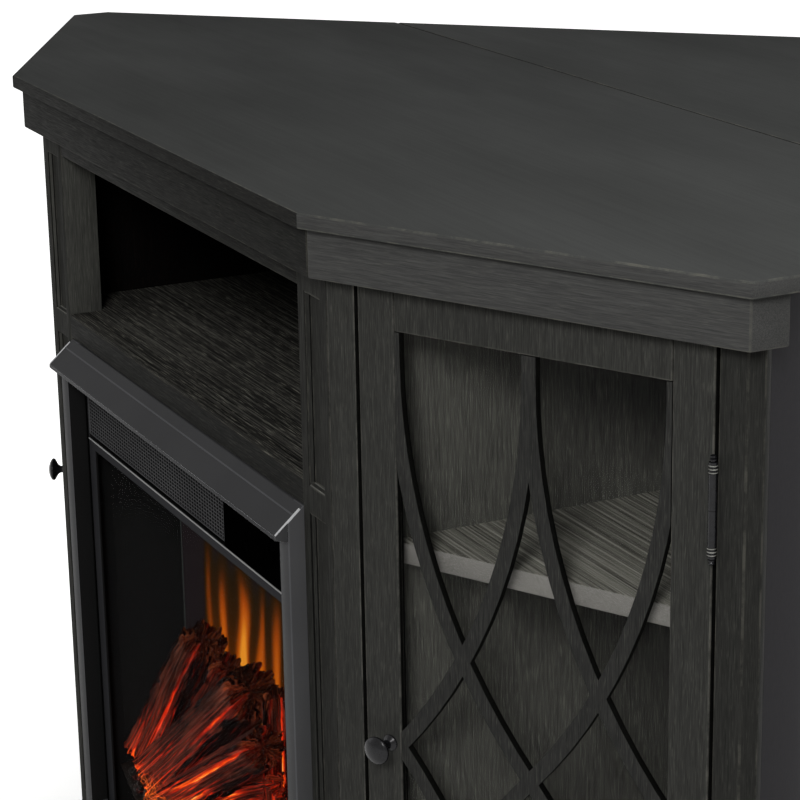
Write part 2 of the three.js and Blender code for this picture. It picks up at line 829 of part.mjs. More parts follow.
const caseHalf = trimInner - caseSideGap;
const caseBack = caseFront + caseDepth;
const caseTop = hoodSoffit - caseTopGap;
const caseBottom = lowerRailTop + caseLift;
const bandTop = caseTop - ventBandSetDown;
const bandBottom = bandTop - ventBandHeight;
const deckTop = bandBottom - deckBelowBand + caseSheet;
const deckBottom = deckTop - caseSheet;
const innerHalf = caseHalf - caseSheet;
const chamberFront = caseFront + caseSheet;
const chamberFloor = caseBottom + caseSheet;
const windowHalf = caseHalf - caseFlange;
const windowBottom = trimBottom + trimFootHeight + jointGap;
const windowTop = deckBottom - caseSheet;

function addCase() {
  const shell = block(-caseHalf, caseHalf, caseFront, caseBack, caseBottom, caseTop);
  const inside = caseBack - caseSheet;
  const cutFront = caseFront - cutOverrun;
  const cutBack = chamberFront + cutOverrun;
  const hollows = [
    block(-innerHalf, innerHalf, chamberFront, inside, chamberFloor, deckBottom),
    block(-innerHalf, innerHalf, chamberFront, inside, deckTop, caseTop - caseSheet),
    block(-windowHalf, windowHalf, cutFront, cutBack, windowBottom, windowTop),
    block(-innerHalf, innerHalf, cutFront, cutBack, bandBottom, bandTop),
  ];
  const skids = sides.map((side) => {
    const outer = side * (caseHalf - skidInset);
    const skidFront = bodyFront + pilasterDepth;
    return block(outer - side * skidWidth, outer, skidFront, inside, floorTop, chamberFloor);
  });
  add(stand, 'firebox_case', join([cut(shell, hollows), ...skids]), blackSheet);
}

const panelStart = innerHalf - jointGap - controlPanelWidth;

function addVentBand() {
  const low = bandBottom + grilleSetIn;
  const high = bandTop - grilleSetIn;
  const left = -innerHalf + jointGap;
  const right = panelStart - jointGap;
  const columns = Math.floor((right - left - 2 * grilleBorder) / slotPitchX);
  const rows = Math.floor((high - low - 2 * grilleBorder) / slotPitchZ);
  const firstX = (left + right - (columns - 1) * slotPitchX) / 2;
  const firstZ = (low + high - (rows - 1) * slotPitchZ) / 2;
  const cutFront = caseFront - cutOverrun;
  const cutBack = caseFront + grilleThickness + cutOverrun;
  const slots = [];
  for (let column = 0; column < columns; column += 1) {
    const x = firstX + column * slotPitchX - slotWidth / 2;
    for (let row = 0; row < rows; row += 1) {
      const z = firstZ + row * slotPitchZ - slotHeight / 2;
      slots.push(block(x, x + slotWidth, cutFront, cutBack, z, z + slotHeight));
    }
  }
  const plate = block(left, right, caseFront, caseFront + grilleThickness, low, high);
  add(stand, 'vent_grille', cut(plate, slots), blackSheet);
  const panelBack = caseFront + controlPanelThickness;
  const panel = block(panelStart, panelStart + controlPanelWidth, caseFront, panelBack, low, high);
  add(stand, 'control_panel', panel, glossBlack);
}

const fireGlassBack = chamberFront + fireGlassThickness;
const screenFront = fireGlassBack + screenSetback;
const screenBack = screenFront + screenThickness;
const chamberHalf = innerHalf - jointGap;

function addFireChamber() {
  const glass = block(-chamberHalf, chamberHalf, chamberFront, fireGlassBack, chamberFloor, deckBottom);
  add(stand, 'firebox_glass', glass, clearGlass);
  const screen = block(-chamberHalf, chamberHalf, screenFront, screenBack, chamberFloor, deckBottom);
  add(stand, 'flame_screen', screen, screenGlass);
  const emberHalf = chamberHalf - emberSideGap;
  const emberFront = fireGlassBack + emberFrontGap;
  const bed = [
    point(emberFront, chamberFloor),
    point(screenFront, chamberFloor),
    point(screenFront, chamberFloor + emberBackHeight),
    point((emberFront + screenFront) / 2, chamberFloor + (emberFrontHeight + emberBackHeight) / 2),
    point(emberFront, chamberFloor + emberFrontHeight),
  ];
  add(stand, 'ember_bed', beam(bed, -emberHalf, emberHalf), emberCoal);
}

// One rough log between two ends, thicker in the middle and split flat on some sides
function logBetween(start, end, radius, turn) {
  const length = start.distanceTo(end);
  const log = new THREE.CylinderGeometry(radius, radius, length, logSideCount, 4);
  const position = log.attributes.position;
  for (let i = 0; i < position.count; i += 1) {
    const x = position.getX(i);
    const z = position.getZ(i);
    const along = position.getY(i) / length;
    const angle = Math.atan2(z, x) + turn;
    const ridges = logRidgeShare * Math.cos(3 * angle);
    const swell = 1 + ridges + logTwistShare * Math.sin(2 * angle + 4 * along);
    const taper = 1 - logTaperShare * along * along;
    position.setX(i, x * swell * taper);
    position.setZ(i, z * swell * taper);
  }
  const direction = end.clone().sub(start).normalize();
  const lean = new THREE.Quaternion().setFromUnitVectors(new THREE.Vector3(0, 1, 0), direction);
  return log.applyQuaternion(lean).translate(...start.clone().add(end).divideScalar(2).toArray());
}

// The logs are placed by shares of the chamber: across its half width, through its depth
// and up from the ember bed's back to the deck; the radius is a share of the log radius.
const logShares = [
  { from: [-0.86, 0.33, -0.03], to: [-0.47, 0.62, 0.44], radius: 1.45, turn: 0.3 },
  { from: [-0.8, 0.74, 0], to: [-0.5, 0.76, 0.49], radius: 1.1, turn: 2 },
  { from: [-0.8, 0.55, -0.02], to: [-0.28, 0.7, 0.42], radius: 1.1, turn: 0.8 },
  { from: [-0.66, 0.36, -0.03], to: [0.1, 0.58, 0.44], radius: 1.7, turn: 1.4 },
  { from: [-0.56, 0.3, -0.08], to: [0.3, 0.42, 0.3], radius: 1.3, turn: 2.2 },
  { from: [0.24, 0.7, 0], to: [0.25, 0.72, 0.48], radius: 1, turn: 0.9 },
  { from: [0.23, 0.33, -0.04], to: [0.81, 0.66, 0.38], radius: 1.5, turn: 1.9 },
  { from: [-0.3, 0.27, -0.09], to: [0.42, 0.36, 0.16], radius: 1.2, turn: 0.1 },
  { from: [0.3, 0.3, -0.05], to: [0.89, 0.36, 0.02], radius: 1.1, turn: 1.1 },
  { from: [0.3, 0.64, 0.02], to: [0.88, 0.62, 0.08], radius: 1.2, turn: 2.6 },
];

function addLogs() {
  const bedTop = chamberFloor + emberBackHeight;
  const depth = screenFront - fireGlassBack;
  const place = ([across, deep, up]) => new THREE.Vector3(
    across * chamberHalf,
    fireGlassBack + deep * depth,
    bedTop + up * (deckBottom - bedTop),
  );
  const logs = logShares.map(({ from, to, radius, turn }) =>
    logBetween(place(from), place(to), radius * logRadius, turn));
  const bed = stand.getObjectByName('ember_bed').geometry;
  const lowest = chamberFloor + emberFrontHeight;
  const above = beam(
    [
      point(fireGlassBack + jointGap, lowest),
      point(screenFront - jointGap, lowest),
      point(screenFront - jointGap, deckBottom),
      point(fireGlassBack + jointGap, deckBottom),
    ],
    -chamberHalf,
    chamberHalf,
  );
  const lifted = bed.clone().translate(0, 0, jointGap);
  add(stand, 'log_set', cut(keepInside(join(logs), above), [lifted, bed]), charredLog);
}

// Flame rotor behind the screen, and the blower over the deck; both spin on the case or housing
function addFan(name, y, z, halfLength, parts) {
  const shaft = new THREE.CylinderGeometry(shaftRadius, shaftRadius, 2 * halfLength, 12);
  const mesh = add(stand, name, join([shaft.rotateZ(Math.PI / 2), ...parts]), brightSheet);
  mesh.position.set(0, y, z);
}

function addRotor() {
  const vaneHalf = chamberHalf - caseFlange;
  const vanes = [0, 1].map((i) =>
    block(-vaneHalf, vaneHalf, -rotorReach, rotorReach, -vaneThickness / 2, vaneThickness / 2)
      .rotateX((i * Math.PI) / 2));
  const axisY = screenBack + rotorBehindScreen;
  addFan('flame_rotor', axisY, caseBottom + rotorHeight, innerHalf - jointGap, vanes);
}

function addBlower() {
  const axisY = caseFront + wheelSetback;
  const axisZ = (deckTop + caseTop - caseSheet) / 2;
  const wheelHalf = housingHalfWidth - housingSheet - jointGap;
  const discHalf = wheelHalf - wheelRim;
  const discs = [-1, 0, 1].map((i) =>
    new THREE.CylinderGeometry(wheelRadius, wheelRadius, wheelRim, 24)
      .rotateZ(Math.PI / 2)
      .translate(i * (discHalf - wheelRim / 2), 0, 0));
  const bladeHalf = discHalf - wheelRim / 2;
  const bladeInner = wheelRadius - wheelBladeDepth;
  const halfVane = vaneThickness / 2;
  const bladeOuter = wheelRadius - halfVane;
  const blades = [];
  for (let i = 0; i < wheelBladeCount; i += 1) {
    const blade = block(-bladeHalf, bladeHalf, -halfVane, halfVane, bladeInner, bladeOuter);
    blades.push(blade.rotateX((i * 2 * Math.PI) / wheelBladeCount));
  }
  addFan('blower_wheel', axisY, axisZ, wheelHalf, [...discs, ...blades]);

  const front = caseFront + housingFront;
  const back = axisY + housingBack;
  const base = deckTop;
  const plateInner = housingHalfWidth - housingSheet;
  const plateTop = base + housingPlateHeight;
  const plates = sides.map((side) =>
    block(side * plateInner, side * housingHalfWidth, front, back, base, plateTop));
  const heaterBack = front + heaterDepth;
  const housing = join([
    block(-housingHalfWidth, housingHalfWidth, front, back, base, base + housingSheet),
    ...plates,
    block(-housingHalfWidth, housingHalfWidth, front, heaterBack, base, base + heaterHeight),
  ]);
  add(stand, 'heater_housing', housing, brightSheet);
}

function addPowerInlet() {
  const x1 = caseHalf - inletFromSide;
  const z0 = caseBottom + inletRise;
  const inlet = block(x1 - inletWidth, x1, caseBack, caseBack + inletDepth, z0, z0 + inletHeight);
  add(stand, 'power_inlet', inlet, blackSheet);
}

addTop();
addCornerApron();
addFrieze();
addPilasters();
addRails();
addStilesAndPosts();
addCarcasePanels();
addBoards();
addBase();
addDoors();
addTrimAndHood();
addCase();
addVentBand();
addFireChamber();
addLogs();
addRotor();
addBlower();
addPowerInlet();

// The origin goes to the middle of the plan box, on the floor.
stand.position.y = -(Math.min(hoodTipY, 0) + tipY) / 2;

export default stand;
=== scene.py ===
import json
import math
import random

import bpy
from mathutils import Euler, Matrix, Vector, noise

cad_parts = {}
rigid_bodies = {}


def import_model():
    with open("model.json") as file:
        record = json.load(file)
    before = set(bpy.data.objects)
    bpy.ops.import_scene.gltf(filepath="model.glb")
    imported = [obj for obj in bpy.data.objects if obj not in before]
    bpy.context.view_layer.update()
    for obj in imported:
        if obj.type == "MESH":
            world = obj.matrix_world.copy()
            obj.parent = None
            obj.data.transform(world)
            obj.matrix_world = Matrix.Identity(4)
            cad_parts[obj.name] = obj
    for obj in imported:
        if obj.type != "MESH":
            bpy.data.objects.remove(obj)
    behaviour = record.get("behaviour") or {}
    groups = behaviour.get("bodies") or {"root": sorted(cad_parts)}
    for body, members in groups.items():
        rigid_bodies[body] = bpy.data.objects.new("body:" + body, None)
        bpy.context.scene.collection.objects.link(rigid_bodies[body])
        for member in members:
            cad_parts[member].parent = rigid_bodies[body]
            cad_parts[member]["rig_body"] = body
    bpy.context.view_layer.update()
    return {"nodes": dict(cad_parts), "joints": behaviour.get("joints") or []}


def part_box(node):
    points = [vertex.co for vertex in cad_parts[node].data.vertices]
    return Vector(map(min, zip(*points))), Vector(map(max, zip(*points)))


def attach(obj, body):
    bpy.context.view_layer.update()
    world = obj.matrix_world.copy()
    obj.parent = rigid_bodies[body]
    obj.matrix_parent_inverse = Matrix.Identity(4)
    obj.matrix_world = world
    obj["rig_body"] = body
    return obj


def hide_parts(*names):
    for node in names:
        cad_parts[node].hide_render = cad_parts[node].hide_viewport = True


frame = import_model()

MM = 0.001

# The stand's own directions
FACE_TURN = math.radians(28)  # each door face, turned back from the front
UPRIGHT = (0, -math.pi / 2, 0)
ACROSS = (0, 0, 0)
ALONG_FACE = {"left": (0, 0, -FACE_TURN), "right": (0, 0, FACE_TURN)}
SIDES = {"left": -1, "right": 1}

# Boards and metal edges
WOOD_EASE = 1.3 * MM
SLAB_EASE = 1.6 * MM
LATTICE_EASE = 1.8 * MM
METAL_EASE = 1.0 * MM
EASE_STEPS = 2
SHARP_ANGLE = math.radians(30)
SQUARE_ON = 0.9  # the dot product that counts two directions as the same
HALF_ON = 0.5  # the same for a face that only leans towards a direction
SIDEWAYS_SHARE = 0.3  # the least that a face turned to one side leans there
LEVEL_SHARE = 0.1  # the most that a level direction rises
FLAT_ANGLE = math.radians(1)
WELD = 0.01 * MM

# Knobs and hinges
TURNED_STEPS = 40
KNOB_ROSE = 7  # radius of a knob's foot in millimetres
BARREL_RADIUS = 3.3 * MM
BARREL_HALF = 37 * MM
PIN_RADIUS = 1.5 * MM
KNUCKLE_GAP = 0.3 * MM
RING_COUNT = 3
RING_PITCH = 2.6 * MM
RING_PROUD = 0.35 * MM
# Each turned ring as shares of its pitch along the barrel and of its rise or groove
RING_SHARES = [(-0.42, 0), (-0.38, -1), (-0.2, -1), (-0.12, 1), (0.22, 1), (0.3, 0)]
CREST_RISE = 0.2 * MM  # a rubbed crest stands at least this far out of the barrel
CREST_LEAN = 0.2  # and its normal rises or falls by less than this share

# Air grille
MESH_PITCH = 3.5 * MM
MESH_WIRE = 0.5 * MM
MESH_STRETCH = 1.8  # how many times as long as high a slot is
MESH_DEPTH = 0.4 * MM
MESH_BORDER = 1.2 * MM
MESH_EASE = 0.4 * MM
GAUZE_DEPTH = 0.3 * MM
GRILLE_FOOT = 4 * MM  # the dark slit below the grille

# Marks on the control panel
MARK_COUNT = 5
MARK_START = 24 * MM
MARK_PITCH = 27 * MM
MARK_DEPTH = 0.15 * MM
MARK_BAR = (1.4 * MM, 7 * MM, 1)
MARK_RADIUS = 4 * MM
MARK_LINE = 0.8 * MM
MARK_STEPS = 32

# Hood, with its parts as shares of the slope from the lip to the trim
HOOD_RISE = 23 * MM
HOOD_REACH = 26 * MM
HOOD_SLOPE = math.hypot(HOOD_REACH, HOOD_RISE)
SHEET_SHARES = (0.04, 0.985)
SHEET_PROUD = 0.3 * MM
FOLD_SHARE = 0.68
FOLD_WIDTH = 1.5 * MM
# Painted highlight strips along the hood's two ends
END_HIGHLIGHT_SHARES = (0.02, 0.9)
END_HIGHLIGHT_WIDTH = 2 * MM

# Lip along the deck, pale grey as a painted highlight
BEAD_DEPTH = 1.2 * MM
BEAD_HEIGHT = 1.2 * MM
BEAD_RISE = 7.5 * MM

# Glue blocks under the floor panel
GLUE_BLOCK = 12 * MM
GLUE_BLOCK_SETBACK = 0.5 * MM
SILL_HEIGHT = 21 * MM

# Fire chamber and the light on its screen
CHAMBER_HALF = 265.1 * MM
EMBER_LIGHT_HEIGHT = 70 * MM
FLAME_HALF = 185 * MM
FLAME_FADE = 22.2 * MM
FLAME_FOOT = 60 * MM
FLAME_TOP = 327 * MM
# Width of the painted highlight along the screen's side edges
SCREEN_HIGHLIGHT_WIDTH = 6 * MM

# Logs
LOG_RADIUS = 19 * MM
LOG_AROUND = 150
LOG_ALONG = 150
LOG_CAP_SHARE = 0.1
LOG_TAPER_SHARE = 0.14
LOG_LUMP_SHARE = 0.1
LOG_KNOT_SHARE = 0.07
BARK_DEPTH = 3.2 * MM
PLATE_SHARE = 0.35  # how much the bark's plates rise and fall, as a share of its depth
SPLIT_SHARE = 0.7
SPLIT_SWAY = 5  # degrees that a split face winds round the log
LEDGE_HEIGHT = 1.5 * MM
STRAND_WIDTH = 3 * MM
SPLINTER_LENGTH = 7 * MM
TORN_SHARE = 0.07

# Cracks in the logs, with their places and widths in degrees round the log
LOG_CRACKS = 4
CRACK_DEPTH = 5 * MM
CRACK_SPREAD = 23
CRACK_WANDER = 11
CRACK_WAVER = 2.5
CRACK_CUT = 3
CRACK_LIGHT = 4.4
CRACK_HALO = 13

# Ember bed and coals
BED_FRONT = 34 * MM
BED_CELLS = (180, 36)
BED_GRIT = 14 * MM
BED_ROUGHNESS = 3 * MM
BED_SHEET = 2 * MM
BANK_WIDTH = 48 * MM
BANK_HEIGHT = 24 * MM
BANK_SHARE = 0.35  # share of the coals that lie in the two banks
COAL_COUNT = 230
COAL_KINDS = 6
COAL_SIZE = 8 * MM
COAL_RANGE = (0.55, 1.15)  # the smallest and the largest coal, as shares of COAL_SIZE
COAL_SHAPE = (1, 0.85, 0.7)
COAL_LIFT = 0.2  # share of a coal's size that its middle lies above the bed


def linear(colour):
    """An sRGB hex colour as the opaque linear colour that a shader takes."""
    parts = [int(colour[start:start + 2], 16) / 255 for start in (1, 3, 5)]
    curve = [part / 12.92 if part <= 0.04045 else ((part + 0.055) / 1.055) ** 2.4 for part in parts]
    return (*curve, 1)


def add_node(tree, kind, inputs=None, stops=None, **settings):
    """Adds a shader node. Each input is a value, or the node or output that feeds it."""
    node = tree.nodes.new("ShaderNode" + kind)
    for name, value in settings.items():
        setattr(node, name, value)
    for name, value in (inputs or {}).items():
        if isinstance(value, bpy.types.Node):
            value = value.outputs[0]
        if isinstance(value, bpy.types.NodeSocket):
            tree.links.new(value, node.inputs[name])
        else:
            node.inputs[name].default_value = value
    if stops:
        ramp = node.color_ramp
        while len(ramp.elements) < len(stops):
            ramp.elements.new(1)
        for element, (place, colour) in zip(ramp.elements, stops):
            element.position = place
            element.color = linear(colour) if isinstance(colour, str) else (colour,) * 3 + (1,)
    return node


def new_material(name):
    material = bpy.data.materials.new(name)
    material.use_nodes = True
    material.node_tree.nodes.clear()
    return material, material.node_tree


def surface(tree, **inputs):
    """The finished shader: one Principled surface and the material's output."""
    names = {name.replace("_", " "): value for name, value in inputs.items()}
    shader = add_node(tree, "BsdfPrincipled", names)
    add_node(tree, "OutputMaterial", {"Surface": shader})


def stretched(tree, coordinates, length, width, turn=ACROSS):
    """Object coordinates in units of a figure's length and width, given in millimetres."""
    scale = (length * MM, width * MM, width * MM)
    settings = {"Vector": coordinates, "Rotation": turn, "Scale": scale}
    return add_node(tree, "Mapping", settings, vector_type="TEXTURE")


# Oak veneer, wire brushed and stained charcoal: dark pores run along the grain, and short pale
# flecks show where the brush has cut through the stain. Eased edges are rubbed nearly bare.
def brushed_oak(name, turn, tones, fleck_colour, fleck_share=0.4, edge=None, pores=(26, 0.8),
                flecks=(12, 0.8), relief=0.2):
    material, tree = new_material(name)
    place = add_node(tree, "TexCoord").outputs["Object"]
    fibre = add_node(tree, "TexNoise", {
        "Vector": stretched(tree, place, *pores, turn), "Scale": 1, "Detail": 4, "Roughness": 0.62})
    fleck = add_node(tree, "TexNoise", {
        "Vector": stretched(tree, place, *flecks, turn), "Scale": 1, "Detail": 2, "Roughness": 0.5})
    band = add_node(tree, "TexNoise", {
        "Vector": stretched(tree, place, 260, 12, turn), "Scale": 1, "Detail": 4, "Roughness": 0.7})
    tone = add_node(tree, "ValToRGB", {"Fac": fibre}, [
        (0.32, tones[0]), (0.5, tones[1]), (0.68, tones[2])])
    spots = add_node(tree, "ValToRGB", {"Fac": fleck}, [(0.56, 0.0), (0.74, fleck_share)])
    flecked = add_node(tree, "MixRGB", {"Fac": spots, "Color1": tone, "Color2": linear(fleck_colour)})
    shade = add_node(tree, "ValToRGB", {"Fac": band}, [(0.34, 0.88), (0.66, 1.0)])
    colour = add_node(tree, "MixRGB", {"Fac": 1, "Color1": flecked, "Color2": shade},
                      blend_type="MULTIPLY")
    if edge:
        rub = add_node(tree, "TexNoise", {
            "Vector": stretched(tree, place, 26, 26), "Scale": 1, "Detail": 5, "Roughness": 0.7})
        rubbed = add_node(tree, "ValToRGB", {"Fac": rub}, [(0.44, 0.05), (0.64, 0.85)])
        colour = add_node(tree, "MixRGB", {"Fac": rubbed, "Color1": colour, "Color2": linear(edge)})
    rough = add_node(tree, "ValToRGB", {"Fac": fibre}, [(0.35, 0.74), (0.65, 0.56)])
    bump = add_node(tree, "Bump", {"Height": fibre, "Strength": 0.6, "Distance": relief * MM})
    surface(tree, Base_Color=colour, Roughness=rough, Normal=bump, Specular_IOR_Level=0.01)
    return material


def oak_pair(name, turn, tones, fleck_colour, edge):
    """A board's veneer and its worn edge."""
    return [
        brushed_oak(name, turn, tones, fleck_colour),
        brushed_oak(name + "_edge", turn, tones, fleck_colour, edge=edge),
    ]


DOOR_TONES = ("#282826", "#31312f", "#3a3a37")
FRONT_TONES = ("#20201f", "#282826", "#30302e")
RAIL_TONES = ("#1b1b1a", "#222221", "#292927")
FRIEZE_TONES = ("#373737", "#40403f", "#484847")
FLECK = "#53534d"
EDGE = "#504f4a"

OAK_UPRIGHT = oak_pair("brushed_oak_upright", UPRIGHT, DOOR_TONES, FLECK, EDGE)
OAK_FRONT = oak_pair("brushed_oak_front", UPRIGHT, FRONT_TONES, "#484843", "#43423d")
OAK_LATTICE = oak_pair(
    "brushed_oak_lattice", UPRIGHT, ("#232322", "#2b2b2a", "#343432"), FLECK, "#5c5b55")
OAK_ACROSS = oak_pair("brushed_oak_across", ACROSS, RAIL_TONES, "#44433e", "#403f3a")
OAK_FACE = {
    side: oak_pair(f"brushed_oak_face_{side}", turn, FRIEZE_TONES, "#565652", EDGE)
    for side, turn in ALONG_FACE.items()
}
OAK_INSIDE = brushed_oak(
    "brushed_oak_inside", UPRIGHT, ("#3c3c38", "#4b4b46", "#5b5b54"), "#84847a",
    pores=(40, 1.0), flecks=(16, 0.9), fleck_share=0.6)
# Painted light: a paler copy of the front oak for the pilasters' inner returns.
OAK_LIT_RETURN = brushed_oak("brushed_oak_return_painted_light", UPRIGHT, ("#31312e", "#3b3b38", "#464642"), "#5d5d56")
OAK_SHELF = brushed_oak(
    "ribbed_oak_shelf", ACROSS, ("#3a3934", "#78776e", "#adaca1"), "#c2bfb2",
    pores=(300, 2.4), flecks=(30, 1.2), relief=0.5, fleck_share=0.3)
OAK_BAY = brushed_oak(
    "ribbed_oak_bay", ACROSS, ("#0e0e0d", "#2a2927", "#52514c"), "#8a887d",
    pores=(300, 2.2), flecks=(26, 1.1), relief=0.5, fleck_share=0.7)
# Painted shade: near-black oak for the media bay's back and the partitions' faces towards it.
OAK_BAY_SHADE = brushed_oak(
    "painted_shade_bay_oak", UPRIGHT, ("#040404", "#060505", "#090706"), "#1a1210")
# Painted shade: a near-black oak for the sides of boards that face a gap and for the side slopes of
# the pilasters' recesses.
OAK_SHADED_SIDES = brushed_oak(
    "painted_shade_oak_sides", UPRIGHT, ("#090908", "#0e0e0d", "#151513"), "#1d1d1b", pores=(6, 0.7))
# Painted highlight: a paler oak for the upper and lower slopes of the pilasters' recesses.
OAK_HIGHLIT_SLOPES = brushed_oak("painted_highlight_oak_slopes", ACROSS, ("#464643", "#585854", "#6a6a64"), "#7a7a72")
SHELF_LIPPING = brushed_oak(
    "limed_oak_lipping", ACROSS, ("#767470", "#85837e", "#918f8a"), "#a09e98")


# Medium-density fibreboard under a satin charcoal lacquer: almost even, with soft cloudy shades
# and a faint long grain printed through from the veneer below.
def lacquered_top(name, edge=None):
    material, tree = new_material(name)
    place = add_node(tree, "TexCoord").outputs["Object"]
    cloud = add_node(tree, "TexNoise", {
        "Vector": stretched(tree, place, 260, 90), "Scale": 1, "Detail": 4, "Roughness": 0.55})
    grain = add_node(tree, "TexNoise", {
        "Vector": stretched(tree, place, 130, 3.5), "Scale": 1, "Detail": 4, "Roughness": 0.6})
    tone = add_node(tree, "ValToRGB", {"Fac": cloud}, [(0.3, "#3d3e3d"), (0.7, "#434443")])
    streak = add_node(tree, "ValToRGB", {"Fac": grain}, [(0.34, 0.9), (0.66, 1.0)])
    colour = add_node(tree, "MixRGB", {"Fac": 1, "Color1": tone, "Color2": streak},
                      blend_type="MULTIPLY")
    if edge:
        rub = add_node(tree, "TexNoise", {
            "Vector": stretched(tree, place, 22, 22), "Scale": 1, "Detail": 5, "Roughness": 0.75})
        rubbed = add_node(tree, "ValToRGB", {"Fac": rub}, [(0.44, 0.05), (0.64, 0.85)])
        colour = add_node(tree, "MixRGB", {"Fac": rubbed, "Color1": colour, "Color2": linear(edge)})
    rough = add_node(tree, "ValToRGB", {"Fac": cloud}, [(0.3, 0.5), (0.7, 0.42)])
    bump = add_node(tree, "Bump", {"Height": grain, "Strength": 0.25, "Distance": 0.1 * MM})
    surface(tree, Base_Color=colour, Roughness=rough, Normal=bump, Specular_IOR_Level=0.0005)
    return material


TOP = [lacquered_top("lacquered_top"), lacquered_top("lacquered_top_edge", "#585751")]


# Painted hardboard for the backs: pressed fibres leave a fine even mottle.
def painted_hardboard():
    material, tree = new_material("painted_hardboard")
    place = add_node(tree, "TexCoord").outputs["Object"]
    mottle = add_node(tree, "TexNoise", {
        "Vector": stretched(tree, place, 5, 5), "Scale": 1, "Detail": 5, "Roughness": 0.7})
    tone = add_node(tree, "ValToRGB", {"Fac": mottle}, [(0.3, "#2f2e30"), (0.7, "#333234")])
    bump = add_node(tree, "Bump", {"Height": mottle, "Strength": 0.3, "Distance": 0.2 * MM})
    surface(tree, Base_Color=tone, Roughness=0.7, Normal=bump, Specular_IOR_Level=0.01)
    return material


HARDBOARD = painted_hardboard()


# Sheet steel under powder paint: the powder melts into a fine orange peel that softens its shine.
def powder_coated(name, dark, light, roughness, specular):
    material, tree = new_material(name)
    place = add_node(tree, "TexCoord").outputs["Object"]
    grains = add_node(tree, "TexNoise", {
        "Vector": stretched(tree, place, 1.6, 1.6), "Scale": 1, "Detail": 3, "Roughness": 0.6})
    drift = add_node(tree, "TexNoise", {
        "Vector": stretched(tree, place, 120, 120), "Scale": 1, "Detail": 2, "Roughness": 0.5})
    tone = add_node(tree, "ValToRGB", {"Fac": drift}, [(0.3, dark), (0.7, light)])
    rough = add_node(tree, "ValToRGB", {"Fac": grains}, [
        (0.3, roughness - 0.05), (0.7, roughness + 0.07)])
    bump = add_node(tree, "Bump", {"Height": grains, "Strength": 0.18, "Distance": 0.08 * MM})
    surface(tree, Base_Color=tone, Roughness=rough, Normal=bump, Specular_IOR_Level=specular)
    return material


# Zinc casting with a black pewter finish: dark metal, rubbed brighter where hands reach it.
def black_pewter(name, dark, light):
    material, tree = new_material(name)
    place = add_node(tree, "TexCoord").outputs["Object"]
    rub = add_node(tree, "TexNoise", {
        "Vector": stretched(tree, place, 6, 6), "Scale": 1, "Detail": 5, "Roughness": 0.7})
    tone = add_node(tree, "ValToRGB", {"Fac": rub}, [(0.35, dark), (0.7, light)])
    rough = add_node(tree, "ValToRGB", {"Fac": rub}, [(0.35, 0.26), (0.7, 0.18)])
    bump = add_node(tree, "Bump", {"Height": rub, "Strength": 0.1, "Distance": 0.1 * MM})
    surface(tree, Base_Color=tone, Roughness=rough, Normal=bump, Specular_IOR_Level=0.17)
    return material


# Bright rolled sheet for the rotor, the blower and the heater, brushed by the rollers lengthwise.
def rolled_sheet():
    material, tree = new_material("rolled_aluminium")
    place = add_node(tree, "TexCoord").outputs["Object"]
    lines = add_node(tree, "TexNoise", {
        "Vector": stretched(tree, place, 40, 0.5), "Scale": 1, "Detail": 3, "Roughness": 0.6})
    tone = add_node(tree, "ValToRGB", {"Fac": lines}, [(0.3, "#8d8d8c"), (0.7, "#a9a9a7")])
    rough = add_node(tree, "ValToRGB", {"Fac": lines}, [(0.3, 0.38), (0.7, 0.28)])
    surface(tree, Base_Color=tone, Metallic=1, Roughness=rough)
    return material


# Moulded nylon of the power inlet, with the fine spark grain of its tool.
def moulded_nylon():
    material, tree = new_material("moulded_nylon")
    place = add_node(tree, "TexCoord").outputs["Object"]
    spark = add_node(tree, "TexNoise", {
        "Vector": stretched(tree, place, 0.6, 0.6), "Scale": 1, "Detail": 2, "Roughness": 0.5})
    tone = add_node(tree, "ValToRGB", {"Fac": spark}, [(0.3, "#111111"), (0.7, "#1b1b1b")])
    bump = add_node(tree, "Bump", {"Height": spark, "Strength": 0.3, "Distance": 0.05 * MM})
    surface(tree, Base_Color=tone, Roughness=0.55, Normal=bump)
    return material


# Clear float glass. Most light passes straight through, and a slight haze of dust keeps it visible.
def float_glass(name, tint, alpha, specular):
    material, tree = new_material(name)
    place = add_node(tree, "TexCoord").outputs["Object"]
    haze = add_node(tree, "TexNoise", {
        "Vector": stretched(tree, place, 45, 45), "Scale": 1, "Detail": 4, "Roughness": 0.6})
    rough = add_node(tree, "ValToRGB", {"Fac": haze}, [(0.3, 0.03), (0.7, 0.09)])
    surface(tree, Base_Color=linear(tint), Roughness=rough, Alpha=alpha, Specular_IOR_Level=specular)
    return material


# Acrylic panel with a gloss surface, and its grey print.
def gloss_acrylic(name, dark, light, roughness):
    material, tree = new_material(name)
    place = add_node(tree, "TexCoord").outputs["Object"]
    dust = add_node(tree, "TexNoise", {
        "Vector": stretched(tree, place, 9, 9), "Scale": 1, "Detail": 5, "Roughness": 0.7})
    tone = add_node(tree, "ValToRGB", {"Fac": dust}, [(0.35, dark), (0.7, light)])
    surface(tree, Base_Color=tone, Roughness=roughness, Specular_IOR_Level=0)
    return material


